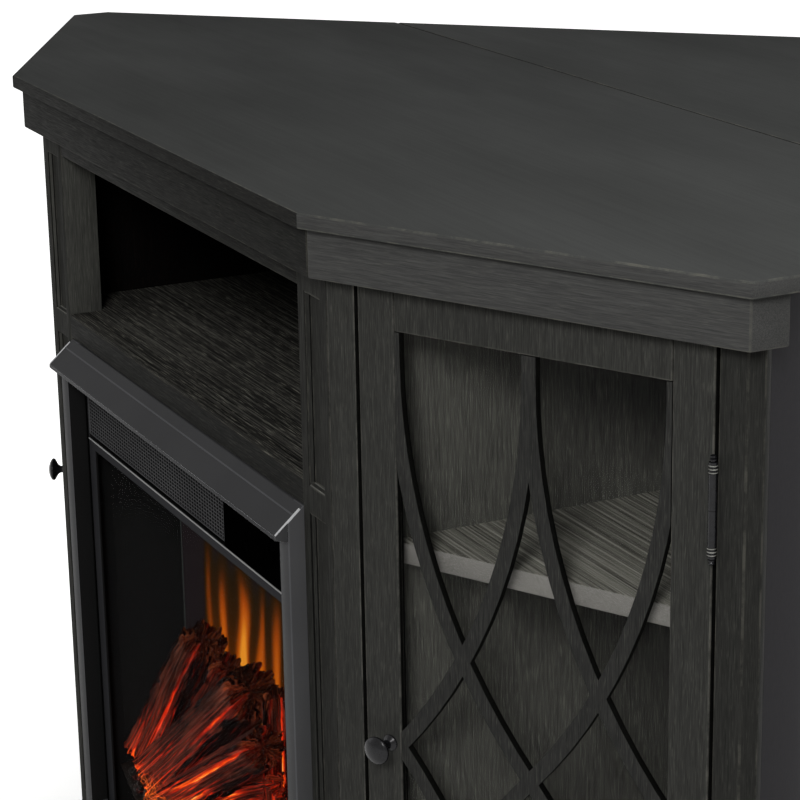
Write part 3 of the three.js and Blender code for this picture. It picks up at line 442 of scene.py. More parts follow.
# Smoked screen that the rotor throws its light on from behind: tongues of light that narrow and
# redden upwards over a dull amber glow.
def flame_light():
    material, tree = new_material("smoked_screen")
    place = add_node(tree, "TexCoord").outputs["Object"]
    parts = add_node(tree, "SeparateXYZ", {"Vector": place})
    low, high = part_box("flame_screen")
    height = add_node(tree, "MapRange", {
        "Value": parts.outputs["Z"], "From Min": low.z + FLAME_FOOT, "From Max": low.z + FLAME_TOP,
        "To Min": 1, "To Max": 0})
    waves = add_node(tree, "TexWave", {
        "Vector": stretched(tree, place, 135, 250), "Scale": 1, "Distortion": 6.5, "Detail": 1,
        "Detail Scale": 1.3, "Phase Offset": 4.3})
    tongue = add_node(tree, "Math", {0: waves, 1: 1.6}, operation="POWER")
    size = add_node(tree, "TexNoise", {
        "Vector": stretched(tree, place, 60, 240), "Scale": 1, "Detail": 1})
    sized = add_node(tree, "MapRange", {"Value": size, "From Min": 0.36, "From Max": 0.62,
                                        "To Min": 0.25, "To Max": 1.1})
    tongue = add_node(tree, "Math", {0: tongue, 1: sized}, operation="MULTIPLY")
    above_glow = add_node(tree, "Math", {0: tongue, 1: 0.22}, operation="ADD")
    reach = add_node(tree, "Math", {0: height, 1: 2.1}, operation="MULTIPLY")
    heat = add_node(tree, "Math", {0: above_glow, 1: reach}, operation="MULTIPLY")
    side = add_node(tree, "Math", {0: parts.outputs["X"]}, operation="ABSOLUTE")
    fade = add_node(tree, "MapRange", {
        "Value": side, "From Min": FLAME_HALF, "From Max": FLAME_HALF + FLAME_FADE,
        "To Min": 1, "To Max": 0})
    heat = add_node(tree, "Math", {0: heat, 1: fade}, operation="MULTIPLY")
    flames = add_node(tree, "ValToRGB", {"Fac": heat}, [
        (0.02, "#171214"), (0.06, "#1c1205"), (0.14, "#2c1703"), (0.24, "#4a2104"),
        (0.42, "#8c3c05"), (0.62, "#b0560c"), (0.9, "#d88824")])
    # Painted highlight: a grey line glows in the emission along the screen's two side edges.
    edge = add_node(tree, "MapRange", {
        "Value": side, "From Min": high.x - SCREEN_HIGHLIGHT_WIDTH, "From Max": high.x})
    edging = add_node(tree, "ValToRGB", {"Fac": edge}, [
        (0.3, "#000000"), (0.4, "#2e3130"), (0.8, "#2e3130"), (0.9, "#000000")])
    outer = add_node(tree, "Math", {0: edge, 1: 0}, operation="GREATER_THAN")
    colour = add_node(tree, "MixRGB", {"Fac": outer, "Color1": flames, "Color2": edging})
    surface(tree, Base_Color=linear("#040302"), Roughness=0.5, Emission_Color=colour,
            Emission_Strength=1.0, Specular_IOR_Level=0.002)
    return material


# Cast resin logs, painted as charred bark and split wood and lit from inside through the cracks.
# The mesh says where the bark, the splits and the cracks are.
# The red light that the embers throw on the logs is painted light in the emission: it reddens the
# skin near each log's foot and round the cracks, and lights seams near the foot.
def cast_log():
    material, tree = new_material("cast_resin_log")
    place = add_node(tree, "UVMap")
    solid = add_node(tree, "TexCoord").outputs["Object"]
    masks = {
        name: add_node(tree, "Attribute", attribute_name=name).outputs["Fac"]
        for name in ("split", "glow", "halo", "torn", "ember_light")
    }
    strands = add_node(tree, "TexNoise", {
        "Vector": add_node(tree, "Mapping", {"Vector": place, "Scale": (70, 4, 1)}),
        "Scale": 1, "Detail": 5, "Roughness": 0.65})
    char = add_node(tree, "TexNoise", {
        "Vector": add_node(tree, "Mapping", {"Vector": place, "Scale": (24, 12, 1)}),
        "Scale": 1, "Detail": 6, "Roughness": 0.75})
    patches = add_node(tree, "TexNoise", {
        "Vector": add_node(tree, "Mapping", {"Vector": place, "Scale": (5, 3, 1)}),
        "Scale": 1, "Detail": 3, "Roughness": 0.6})
    threads = add_node(tree, "TexNoise", {
        "Vector": add_node(tree, "Mapping", {"Vector": place, "Scale": (26, 1.1, 1)}),
        "Scale": 1, "Detail": 2, "Roughness": 0.5})
    bark = add_node(tree, "ValToRGB", {"Fac": char}, [
        (0.42, "#050303"), (0.56, "#150a07"), (0.7, "#3a1a11")])
    wood = add_node(tree, "ValToRGB", {"Fac": strands}, [
        (0.34, "#200f09"), (0.5, "#42241a"), (0.66, "#684435")])
    ends = add_node(tree, "ValToRGB", {"Fac": strands}, [
        (0.42, "#0c0604"), (0.52, "#38180d"), (0.64, "#7a4426")])
    skin = add_node(tree, "MixRGB", {"Fac": masks["split"], "Color1": bark, "Color2": wood})
    skin = add_node(tree, "MixRGB", {"Fac": masks["torn"], "Color1": skin, "Color2": ends})
    scorch = add_node(tree, "ValToRGB", {"Fac": patches}, [(0.42, 0.25), (0.58, 1.0)])
    skin = add_node(tree, "MixRGB", {"Fac": 1, "Color1": skin, "Color2": scorch},
                    blend_type="MULTIPLY")
    flicker = add_node(tree, "MapRange", {
        "Value": char, "From Min": 0.35, "From Max": 0.62, "To Min": 0.55, "To Max": 1.3})
    hot = add_node(tree, "Math", {0: masks["glow"], 1: flicker}, operation="MULTIPLY")
    middle = add_node(tree, "Math", {0: threads, 1: 0.5}, operation="SUBTRACT")
    middle = add_node(tree, "Math", {0: middle}, operation="ABSOLUTE")
    line = add_node(tree, "MapRange", {"Value": middle, "From Max": 0.02, "To Min": 1, "To Max": 0})
    fed = add_node(tree, "Math", {0: masks["halo"], 1: masks["ember_light"]}, operation="ADD")
    line = add_node(tree, "Math", {0: line, 1: fed}, operation="MULTIPLY")
    line = add_node(tree, "Math", {0: line, 1: 0.7}, operation="MULTIPLY")
    hot = add_node(tree, "Math", {0: hot, 1: line}, operation="MAXIMUM")
    fire = add_node(tree, "ValToRGB", {"Fac": hot}, [
        (0.05, "#000000"), (0.2, "#420602"), (0.45, "#991a04"),
        (0.7, "#b2540f"), (0.95, "#b4914d")])
    cells = add_node(tree, "TexVoronoi", {"Vector": stretched(tree, solid, 13, 9), "Scale": 1},
                     feature="DISTANCE_TO_EDGE")
    seam = add_node(tree, "MapRange", {"Value": cells, "From Min": 0.07, "From Max": 0.0})
    low_down = add_node(tree, "Math", {0: masks["ember_light"], 1: 5}, operation="POWER")
    crackle = add_node(tree, "Math", {0: seam, 1: low_down}, operation="MULTIPLY")
    embers = add_node(tree, "ValToRGB", {"Fac": crackle}, [
        (0.15, "#000000"), (0.4, "#5f0f03"), (0.75, "#a93c09"), (1.0, "#b47625")])
    # Painted light: the embers' red light on the skin, strongest near the foot and round the cracks.
    lit = add_node(tree, "MixRGB", {"Fac": 1, "Color1": skin, "Color2": linear("#ff4a20")},
                   blend_type="MULTIPLY")
    low_glow = add_node(tree, "Math", {0: masks["ember_light"], 1: 0.5}, operation="MULTIPLY")
    near = add_node(tree, "Math", {0: masks["halo"], 1: low_glow}, operation="ADD")
    near = add_node(tree, "Math", {0: near, 1: 1.0}, operation="MINIMUM")
    painted_ember_light = add_node(tree, "MixRGB", {"Fac": near, "Color1": linear("#000000"), "Color2": lit})
    glow = add_node(tree, "MixRGB", {"Fac": 1, "Color1": fire, "Color2": embers}, blend_type="ADD")
    light = add_node(tree, "MixRGB", {"Fac": 1, "Color1": glow, "Color2": painted_ember_light}, blend_type="ADD")
    bump = add_node(tree, "Bump", {"Height": strands, "Strength": 0.6, "Distance": 1.2 * MM})
    surface(tree, Base_Color=skin, Roughness=0.7, Normal=bump, Emission_Color=light,
            Emission_Strength=2.2, Specular_IOR_Level=0.02)
    return material


# Cast resin coals: black crusts with the light of the bed showing in their hollows.
def cast_coal(name, heat):
    material, tree = new_material(name)
    place = add_node(tree, "TexCoord").outputs["Object"]
    crust = add_node(tree, "TexNoise", {
        "Vector": stretched(tree, place, 9, 9), "Scale": 1, "Detail": 5, "Roughness": 0.7})
    patch = add_node(tree, "TexNoise", {
        "Vector": stretched(tree, place, 38, 38), "Scale": 1, "Detail": 2, "Roughness": 0.5})
    tone = add_node(tree, "ValToRGB", {"Fac": crust}, [
        (0.3, "#060505"), (0.6, "#17120f"), (0.8, "#2c2622")])
    warmth = add_node(tree, "Math", {0: crust, 1: patch}, operation="MULTIPLY")
    shown = add_node(tree, "Math", {0: warmth, 1: heat}, operation="MULTIPLY")
    fire = add_node(tree, "ValToRGB", {"Fac": shown}, [
        (0.26, "#000000"), (0.34, "#5c0802"), (0.44, "#e03806"), (0.6, "#ff9a24")])
    bump = add_node(tree, "Bump", {"Height": crust, "Strength": 0.7, "Distance": 1.5 * MM})
    surface(tree, Base_Color=tone, Roughness=0.5, Normal=bump, Emission_Color=fire,
            Emission_Strength=1.4, Specular_IOR_Level=0.12)
    return material


# The second finish is a painted highlight: a near-white grey for the hood's lip and ends.
HOOD_STEEL = [
    powder_coated("satin_steel_hood", "#363637", "#3c3c3d", 0.42, 0.012),
    powder_coated("satin_steel_hood_painted_highlight", "#b4b4b6", "#c8c8ca", 0.35, 0.02),
]
# Painted highlight: a lighter grey on the trim's eased edges and on the hood's fold.
TRIM_HIGHLIGHT = powder_coated("satin_steel_trim_painted_highlight", "#48484a", "#525254", 0.4, 0.012)
TRIM_STEEL = powder_coated("satin_steel_trim", "#3d3d3e", "#444445", 0.42, 0.012)
CASE_FRONT = powder_coated("satin_steel_case_front", "#252527", "#29292b", 0.5, 0.004)
CASE_STEEL = powder_coated("matt_steel_case", "#151515", "#171717", 0.6, 0.001)
# Painted highlight: a pale grey for the lip along the deck.
BEAD_HIGHLIGHT = powder_coated("painted_highlight_lip", "#8c8c8c", "#9c9c9c", 0.35, 0.02)
GRILLE_STEEL = powder_coated("matt_steel_grille", "#3c3c3d", "#464647", 0.5, 0.004)
PEWTER = black_pewter("black_pewter", "#0a0a0b", "#17171a")
PEWTER_RUBBED = black_pewter("black_pewter_rubbed", "#4a4a46", "#8c8c86")
ALUMINIUM = rolled_sheet()
NYLON = moulded_nylon()
DOOR_GLASS = float_glass("float_glass_door", "#242424", 0.06, 0.2)
FIRE_GLASS = float_glass("float_glass_fire", "#020202", 0.03, 0.01)
GLOSS_PANEL = gloss_acrylic("gloss_acrylic", "#010101", "#020202", 0.3)
PANEL_PRINT = gloss_acrylic("panel_print", "#5c5c62", "#6c6c72", 0.5)
SCREEN = flame_light()
LOG_RESIN = cast_log()
COAL = cast_coal("cast_resin_coal", 0.9)
COAL_BED = cast_coal("cast_resin_bed", 0.55)


def select_only(piece):
    """Leaves one piece selected and active."""
    bpy.ops.object.select_all(action="DESELECT")
    piece.select_set(True)
    bpy.context.view_layer.objects.active = piece


def named(name):
    """Names the piece that an operator has just added."""
    piece = bpy.context.active_object
    piece.name = name
    piece.data.name = name
    return piece


def added(name, primitive, **settings):
    """A new piece from one of Blender's primitives, with nothing else selected."""
    bpy.ops.object.select_all(action="DESELECT")
    primitive(**settings)
    return named(name)


def paint(piece, *materials):
    """Gives a piece its finishes."""
    piece.data.materials.clear()
    for material in materials:
        piece.data.materials.append(material)


def modify(piece, kind, **settings):
    """Adds a modifier and applies it."""
    select_only(piece)
    modifier = piece.modifiers.new(kind.title(), kind)
    for name, value in settings.items():
        setattr(modifier, name, value)
    bpy.ops.object.modifier_apply(modifier=modifier.name)


def put(piece, place=(0, 0, 0), turn=(0, 0, 0), scale=(1, 1, 1)):
    """Bakes a size, a turn and a place into the mesh, so that the object stays at the origin."""
    piece.data.transform(Matrix.LocRotScale(Vector(place), Euler(turn), Vector(scale)))
    piece.data.update()


def block(name, size, place, turn=(0, 0, 0)):
    """A rectangular piece of a size, turned and set in its place."""
    piece = added(name, bpy.ops.mesh.primitive_cube_add, size=1)
    put(piece, place, turn, size)
    return piece


def join(name, *pieces):
    """Joins pieces into the first one."""
    select_only(pieces[0])
    for piece in pieces[1:]:
        piece.select_set(True)
    bpy.ops.object.join()
    return named(name)


def ride_on(piece, node):
    """The piece rides with a node."""
    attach(piece, frame["nodes"][node]["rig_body"])


def stands_for(piece, node):
    """The piece rides on a node and hides it."""
    ride_on(piece, node)
    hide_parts(node)


def leave_border(piece, width, each_face=False):
    """Cuts a flat piece away but for a border round it, or round each of its faces."""
    select_only(piece)
    bpy.ops.object.mode_set(mode="EDIT")
    bpy.ops.mesh.select_all(action="SELECT")
    bpy.ops.mesh.inset(thickness=width, use_individual=each_face)
    bpy.ops.mesh.delete(type="FACE")
    bpy.ops.object.mode_set(mode="OBJECT")


def close_shell(piece):
    """Welds a piece's seams and poles, turns its faces outwards and smooths it."""
    select_only(piece)
    bpy.ops.object.mode_set(mode="EDIT")
    bpy.ops.mesh.select_all(action="SELECT")
    bpy.ops.mesh.remove_doubles(threshold=WELD)
    bpy.ops.mesh.normals_make_consistent(inside=False)
    bpy.ops.object.mode_set(mode="OBJECT")
    bpy.ops.object.shade_smooth_by_angle(angle=SHARP_ANGLE)


def merged_copy(node, name):
    """A copy of a node with its loose triangles welded into clean faces."""
    piece = bpy.data.objects.new(name, frame["nodes"][node].data.copy())
    bpy.context.scene.collection.objects.link(piece)
    select_only(piece)
    bpy.ops.mesh.customdata_custom_splitnormals_clear()
    bpy.ops.object.mode_set(mode="EDIT")
    bpy.ops.mesh.select_all(action="SELECT")
    bpy.ops.mesh.remove_doubles(threshold=WELD)
    bpy.ops.mesh.dissolve_limited(angle_limit=FLAT_ANGLE)
    bpy.ops.object.mode_set(mode="OBJECT")
    return piece


def eased(node, finish, ease=WOOD_EASE):
    """The node's board with its sharp edges eased, the eased strips in the finish's second material:
    the worn edge of an oak, the painted highlight of the trim and the hood.
    """
    piece = merged_copy(node, node + "_eased")
    paint(piece, *finish)
    modify(piece, "BEVEL", width=ease, segments=EASE_STEPS, limit_method="ANGLE",
           angle_limit=SHARP_ANGLE, material=min(1, len(finish) - 1), harden_normals=False)
    bpy.ops.object.shade_smooth_by_angle(angle=SHARP_ANGLE)
    stands_for(piece, node)
    return piece


def repaint(node, material):
    """Gives a node that stays as it is its finish."""
    paint(frame["nodes"][node], material)


def refinish(piece, finish, wanted=lambda face: True):
    """Gives the faces that are wanted, or all of them, another of the piece's finishes."""
    index = piece.data.materials.find(finish.name)
    for face in piece.data.polygons:
        if wanted(face):
            face.material_index = index


def on_slope(face, axis):
    """Whether a face is a side of a recess: it leans between the board's front and an axis."""
    return HALF_ON < abs(face.normal[axis]) < SQUARE_ON and face.normal.y < -HALF_ON


def face_axes(sign):
    """A door face's directions on one side: outwards, and away from the middle bay."""
    outward = Vector((sign * math.sin(FACE_TURN), -math.cos(FACE_TURN), 0))
    along = Vector((sign * math.cos(FACE_TURN), math.sin(FACE_TURN), 0))
    return outward, along


def dress_carcase():
    """Friezes, rails, backs and the ring below, each in its own run of the grain."""
    finishes = {
        "frieze_front": OAK_ACROSS,
        "header_rail": OAK_ACROSS,
        "lower_rail": OAK_ACROSS,
        "plinth": OAK_ACROSS,
        "corner_apron": OAK_ACROSS,
        "frieze_left": OAK_FACE["left"],
        "frieze_right": OAK_FACE["right"],
        "media_shelf": [OAK_BAY],
        "diagonal_back_left": [HARDBOARD],
        "diagonal_back_right": [HARDBOARD],
    }
    for node, finish in finishes.items():
        eased(node, finish)
    rail = eased("shelf_rail", [*OAK_ACROSS, OAK_BAY])
    refinish(rail, OAK_BAY, lambda face: face.normal.z > SQUARE_ON)
    back = eased("back_panel", [HARDBOARD, OAK_BAY_SHADE])
    refinish(back, HARDBOARD)
    # Painted shade on the back panel's face towards the media bay.
    refinish(back, OAK_BAY_SHADE, lambda face: face.normal.y < -HALF_ON)


def dress_sides():
    """Doors, stiles, posts, pilasters and partitions, with painted shade on the sides that face a
    gap.
    """
    for side, sign in SIDES.items():
        outward, along = face_axes(sign)
        for piece in ("stile_latch", "stile_hinge", "rail_top", "rail_bottom", "lattice"):
            ease = LATTICE_EASE if piece == "lattice" else WOOD_EASE
            finish = OAK_LATTICE if piece == "lattice" else OAK_UPRIGHT
            part = eased(f"door_{side}_{piece}", [*finish, OAK_SHADED_SIDES], ease)
            # Painted shade on the sides of each door piece.
            refinish(part, OAK_SHADED_SIDES, lambda face: abs(face.normal.dot(outward)) < 1 - SQUARE_ON)
        stile = eased(f"inner_stile_{side}", [*OAK_UPRIGHT, OAK_SHADED_SIDES])
        # Painted shade on the stile's side away from the middle bay.
        refinish(stile, OAK_SHADED_SIDES, lambda face: face.normal.dot(along) > SQUARE_ON)
        post = eased(f"end_post_{side}", [*OAK_FRONT, OAK_SHADED_SIDES])
        # Painted shade on the post's side towards the middle bay.
        refinish(post, OAK_SHADED_SIDES, lambda face: face.normal.dot(along) < -SQUARE_ON)
        pilaster = eased(f"pilaster_{side}", [*OAK_FRONT, OAK_LIT_RETURN, OAK_SHADED_SIDES, OAK_HIGHLIT_SLOPES])
        # Painted light on the inner return.
        refinish(pilaster, OAK_LIT_RETURN, lambda face: face.normal.x * sign < -SQUARE_ON)
        # Painted shade on the recess slopes that face sideways.
        refinish(pilaster, OAK_SHADED_SIDES, lambda face: on_slope(face, 0))
        # Painted highlight on the recess slopes that face up and down.
        refinish(pilaster, OAK_HIGHLIT_SLOPES, lambda face: on_slope(face, 2))
        partition = eased(f"partition_{side}", [OAK_INSIDE, OAK_BAY_SHADE])
        refinish(partition, OAK_INSIDE)
        # Painted shade on the partition's face towards the middle bay.
        refinish(partition, OAK_BAY_SHADE, lambda face: face.normal.x * sign < -HALF_ON)


def dress_top():
    """The two top boards, lacquered above and veneered along their edges."""
    edging = {side: veneer[0] for side, veneer in OAK_FACE.items()}
    for node in ("top_main", "top_corner"):
        board = eased(node, [*TOP, OAK_ACROSS[0], *edging.values()], SLAB_EASE)
        refinish(board, OAK_ACROSS[0], lambda face: face.normal.y < -SQUARE_ON)
        for side, sign in SIDES.items():
            refinish(board, edging[side], lambda face: (
                face.normal.x * sign > SIDEWAYS_SHARE and abs(face.normal.z) < LEVEL_SHARE))


def dress_floor():
    """The floor panel, with a glue block at the end of each sill, behind the inner stile."""
    floor = merged_copy("floor_panel", "floor_panel_blocked")
    low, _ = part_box("floor_panel")
    blocks = []
    for sign in SIDES.values():
        outward, along = face_axes(sign)
        sill = [
            vertex.co for vertex in floor.data.vertices
            if vertex.co.z < low.z + MM and vertex.co.x * sign > 0
        ]
        start = min(sill, key=lambda corner: corner.y)
        middle = start - along * GLUE_BLOCK / 3 - outward * (GLUE_BLOCK / 2 + GLUE_BLOCK_SETBACK)
        blocks.append(block(
            "glue_block", (GLUE_BLOCK, GLUE_BLOCK, SILL_HEIGHT),
            (middle.x, middle.y, low.z + SILL_HEIGHT / 2), (0, 0, sign * FACE_TURN)))
    floor = join("floor_panel_blocked", floor, *blocks)
    paint(floor, OAK_BAY)
    stands_for(floor, "floor_panel")


def dress_shelves():
    """Cabinet shelves: ribbed veneer above and below, and a pale lipping on the front edge."""
    for side, sign in SIDES.items():
        shelf = eased(f"cabinet_shelf_{side}", [OAK_SHELF, SHELF_LIPPING])
        outward, _ = face_axes(sign)
        refinish(shelf, OAK_SHELF)
        refinish(shelf, SHELF_LIPPING, lambda face: (
            face.normal.dot(outward) > math.cos(SHARP_ANGLE)))


def turned(name, profile, closed=False):
    """A piece turned round Z. A solid's profile starts and ends on the axis, a ring's is closed."""
    first = profile[0] if closed else profile[1]
    piece = added(
        name, bpy.ops.mesh.primitive_circle_add, vertices=TURNED_STEPS, radius=first[0],
        location=(0, 0, first[1]), fill_type="NOTHING" if closed else "NGON")
    bpy.ops.object.transform_apply(location=True)
    bpy.ops.object.mode_set(mode="EDIT")
    bpy.ops.mesh.select_all(action="SELECT")
    radius, height = first
    later = [*profile[1:], first] if closed else profile[2:-1]
    for next_radius, next_height in later:
        bpy.ops.mesh.extrude_region_move(
            TRANSFORM_OT_translate={"value": (0, 0, next_height - height)})
        share = next_radius / radius
        bpy.ops.transform.resize(
            value=(share, share, 1), center_override=(0, 0, next_height))
        radius, height = next_radius, next_height
    bpy.ops.object.mode_set(mode="OBJECT")
    close_shell(piece)
    return piece


def arc(centre_radius, centre_height, reach, rise, start, end, steps):
    """Points of an elliptical arc, as radius and height."""
    points = []
    for step in range(steps + 1):
        turn = math.radians(start + (end - start) * step / steps)
        points.append((
            centre_radius + reach * math.cos(turn), centre_height + rise * math.sin(turn)))
    return points


# Profiles of turned pieces, as radius and height in millimetres
KNOB_PROFILE = [
    (0, 0), (KNOB_ROSE, 0), (KNOB_ROSE, 1.2), (6.2, 2.2), (4.6, 2.9), (3.6, 4.2), (3.4, 8),
    (3.9, 11.5), (5.4, 14), (8.2, 15.6), *arc(8.4, 19, 3.6, 2.6, -65, 60, 8), (8.3, 22.4),
    (5.6, 23.3), (2.8, 23.8), (0.6, 24), (0, 24),
]
FINIAL_PROFILE = [
    (0, 0), (1.9, 0), (1.9, 0.8), (2.7, 1.3), (2.7, 1.9), (1.7, 2.4), (1.9, 3), (2.3, 3.7),
    (2.2, 4.5), (1.4, 5.2), (0.4, 5.5), (0, 5.5),
]
FINIAL_HEIGHT = 5.5 * MM


def on_axis(profile, base=0, way=1):
    """A profile in metres, from a base on the axis and up or down it."""
    return [(radius * MM, base + way * height * MM) for radius, height in profile]


def make_knobs():
    """Mushroom knobs on a slim neck, standing square to each door."""
    rose = KNOB_ROSE * MM
    for side, sign in SIDES.items():
        node = f"door_{side}_knob"
        low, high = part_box(node)
        knob = turned(node + "_turned", on_axis(KNOB_PROFILE))
        inner = low.x if sign > 0 else high.x
        seat = (
            inner + sign * rose * math.cos(FACE_TURN),
            high.y - rose * math.sin(FACE_TURN),
            (low.z + high.z) / 2,
        )
        put(knob, turn=(math.pi / 2, 0, 0))
        put(knob, seat, (0, 0, sign * FACE_TURN))
        paint(knob, PEWTER)
        stands_for(knob, node)


def knuckle_profile(bottom, top, ringed_end):
    """A hinge knuckle and its bore, with turned rings at one end."""
    start = bottom + RING_PITCH / 2
    if ringed_end == "top":
        start = top - (RING_COUNT + 0.5) * RING_PITCH
    rings = []
    for ring in range(RING_COUNT):
        middle = start + (ring + 0.5) * RING_PITCH
        for along, rise in RING_SHARES:
            rings.append((BARREL_RADIUS + rise * RING_PROUD, middle + along * RING_PITCH))
    bore = PIN_RADIUS + KNUCKLE_GAP
    return [(bore, bottom), (BARREL_RADIUS, bottom), *rings, (BARREL_RADIUS, top), (bore, top)]


def turned_parts():
    """The turned parts of a hinge's two halves, with the hinge's middle at the origin."""
    pin_start = -BARREL_HALF + MM
    pin_end = BARREL_HALF + KNUCKLE_GAP + FINIAL_HEIGHT / 2
    pin = [(0, pin_start), (PIN_RADIUS, pin_start), (PIN_RADIUS, pin_end), (0, pin_end)]
    lower = knuckle_profile(-BARREL_HALF, -KNUCKLE_GAP / 2, "bottom")
    upper = knuckle_profile(KNUCKLE_GAP / 2, BARREL_HALF, "top")
    return {
        "frame": [
            turned("knuckle", lower, closed=True),
            turned("pin", pin),
            turned("finial", on_axis(FINIAL_PROFILE, BARREL_HALF + KNUCKLE_GAP)),
            turned("finial", on_axis(FINIAL_PROFILE, -BARREL_HALF, -1)),
        ],
        "door": [turned("knuckle", upper, closed=True)],
    }


def on_crest(face, axis_x, axis_y):
    """Whether a face is on the crest of a turned ring, where the finish is rubbed bright."""
    reach = math.hypot(face.center.x - axis_x, face.center.y - axis_y)
    raised = BARREL_RADIUS + CREST_RISE < reach < BARREL_RADIUS + MM
    return raised and abs(face.normal.z) < CREST_LEAN


def make_hinge_half(node, parts, seat):
    """Half a hinge: the CAD's leaf, cleared round the barrel, and its turned parts."""
    for part in parts:
        put(part, seat)
    leaf = merged_copy(node, "leaf")
    barrel = added(
        "barrel", bpy.ops.mesh.primitive_cylinder_add, radius=BARREL_RADIUS + KNUCKLE_GAP / 4,
        depth=4 * BARREL_HALF, location=seat)
    modify(leaf, "BOOLEAN", object=barrel, operation="DIFFERENCE")
    bpy.data.objects.remove(barrel)
    hinge = join(node + "_turned", leaf, *parts)
    paint(hinge, PEWTER, PEWTER_RUBBED)
    refinish(hinge, PEWTER)
    refinish(hinge, PEWTER_RUBBED, lambda face: on_crest(face, *seat[:2]))
    stands_for(hinge, node)


def make_hinges():
    """Loose-pin hinges: leaves from the CAD, with turned knuckles, pin and finials."""
    for side in SIDES:
        joint = next(each for each in frame["joints"] if each["name"] == f"door_{side}_hinge")
        axis_x, axis_y = joint["pos_m"][:2]
        for place in ("upper", "lower"):
            stem = f"hinge_{side}_{place}"
            low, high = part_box(stem + "_frame")
            seat = (axis_x, axis_y, (low.z + high.z) / 2)
            for half, parts in turned_parts().items():
                make_hinge_half(f"{stem}_{half}", parts, seat)


def make_grille():
    """A punched sheet: rows of small slots in a narrow plain border, over a dust gauze."""
    low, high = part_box("vent_grille")
    low.z += GRILLE_FOOT
    middle = (low + high) / 2
    width, height = high.x - low.x, high.z - low.z
    mesh = added(
        "grille_mesh", bpy.ops.mesh.primitive_grid_add, size=1,
        x_subdivisions=round((width - MESH_BORDER) / (MESH_PITCH * MESH_STRETCH)),
        y_subdivisions=round((height - MESH_BORDER) / MESH_PITCH))
    put(mesh, scale=(width - MESH_BORDER, height - MESH_BORDER, 1))
    leave_border(mesh, MESH_WIRE, each_face=True)
    modify(mesh, "SOLIDIFY", thickness=MESH_DEPTH, offset=0)
    border = added("grille_border", bpy.ops.mesh.primitive_plane_add, size=1)
    put(border, scale=(width, height, 1))
    leave_border(border, MESH_BORDER)
    modify(border, "SOLIDIFY", thickness=high.y - low.y, offset=0)
    modify(border, "BEVEL", width=MESH_EASE, segments=EASE_STEPS)
    grille = join("vent_grille_mesh", border, mesh)
    put(grille, middle, (math.pi / 2, 0, 0))
    paint(grille, GRILLE_STEEL)
    stands_for(grille, "vent_grille")
    gauze_size = (width - 2 * MESH_BORDER, GAUZE_DEPTH, height - 2 * MESH_BORDER)
    gauze = block("dust_gauze", gauze_size, (middle.x, high.y - GAUZE_DEPTH, middle.z))
    paint(gauze, CASE_STEEL)
    stands_for(gauze, "vent_grille")


def make_deck_bead():
    """The folded lip along the top of the deck's front, in a pale grey that paints its highlight."""
    low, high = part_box("firebox_glass")
    case_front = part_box("firebox_case")[0].y
    bead = block(
        "deck_bead", (high.x - low.x, BEAD_DEPTH, BEAD_HEIGHT),
        (0, case_front - BEAD_DEPTH / 2, high.z + BEAD_RISE))
    modify(bead, "BEVEL", width=BEAD_DEPTH / 4, segments=EASE_STEPS)
    paint(bead, BEAD_HIGHLIGHT)
    ride_on(bead, "firebox_case")


def make_panel_marks():
    """Plain rings and bars printed beside the touch places of the control panel."""
    low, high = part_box("control_panel")
    marks = []
    for step in range(MARK_COUNT):
        if step % 2:
            mark = added("bar", bpy.ops.mesh.primitive_plane_add, size=1)
            put(mark, scale=MARK_BAR)
        else:
            mark = added(
                "ring", bpy.ops.mesh.primitive_circle_add, vertices=MARK_STEPS,
                radius=MARK_RADIUS, fill_type="NGON")
            leave_border(mark, MARK_LINE)
        modify(mark, "SOLIDIFY", thickness=MARK_DEPTH)
        across = low.x + MARK_START + step * MARK_PITCH
        put(mark, (across, low.y, (low.z + high.z) / 2), (math.pi / 2, 0, 0))
        marks.append(mark)
    printed = join("control_panel_marks", *marks)
    paint(printed, PANEL_PRINT)
    ride_on(printed, "control_panel")


# Where each log lies, as shares of the chamber's half width, its depth behind the glass and the
# height between the bed and the deck, with its girth and the turns of its split faces.
LOG_SHARES = [
    {"from": (-0.88, 0.33, 0.02), "to": (-0.46, 0.62, 0.5), "girth": 1.55, "splits": (-75, 20)},
    {"from": (-0.8, 0.74, 0.0), "to": (-0.52, 0.76, 0.42), "girth": 1.15, "splits": (60,)},
    {"from": (-0.8, 0.55, -0.02), "to": (-0.28, 0.7, 0.46), "girth": 1.15, "splits": (-60, 30)},
    {"from": (-0.8, 0.36, -0.03), "to": (0.05, 0.58, 0.49), "girth": 1.8, "splits": (-80, 5)},
    {"from": (-0.7, 0.3, -0.08), "to": (0.28, 0.42, 0.4), "girth": 1.4, "splits": (-60, 25)},
    {"from": (0.15, 0.72, 0.0), "to": (0.16, 0.74, 0.5), "girth": 1.05, "splits": (-30, 65)},
    {"from": (0.23, 0.33, -0.04), "to": (0.81, 0.66, 0.38), "girth": 1.6, "splits": (-70, 15)},
    {"from": (-0.3, 0.27, -0.09), "to": (0.42, 0.36, 0.16), "girth": 1.3, "splits": (-50, 40)},
    {"from": (0.3, 0.3, -0.05), "to": (0.89, 0.36, 0.02), "girth": 1.15, "splits": (-30, 80)},
    {"from": (0.3, 0.64, 0.02), "to": (0.88, 0.62, 0.08), "girth": 1.25, "splits": (-40, 60)},
    {"from": (-0.5, 0.72, -0.02), "to": (0.22, 0.76, 0.26), "girth": 1.35, "splits": (-50, 30)},
]


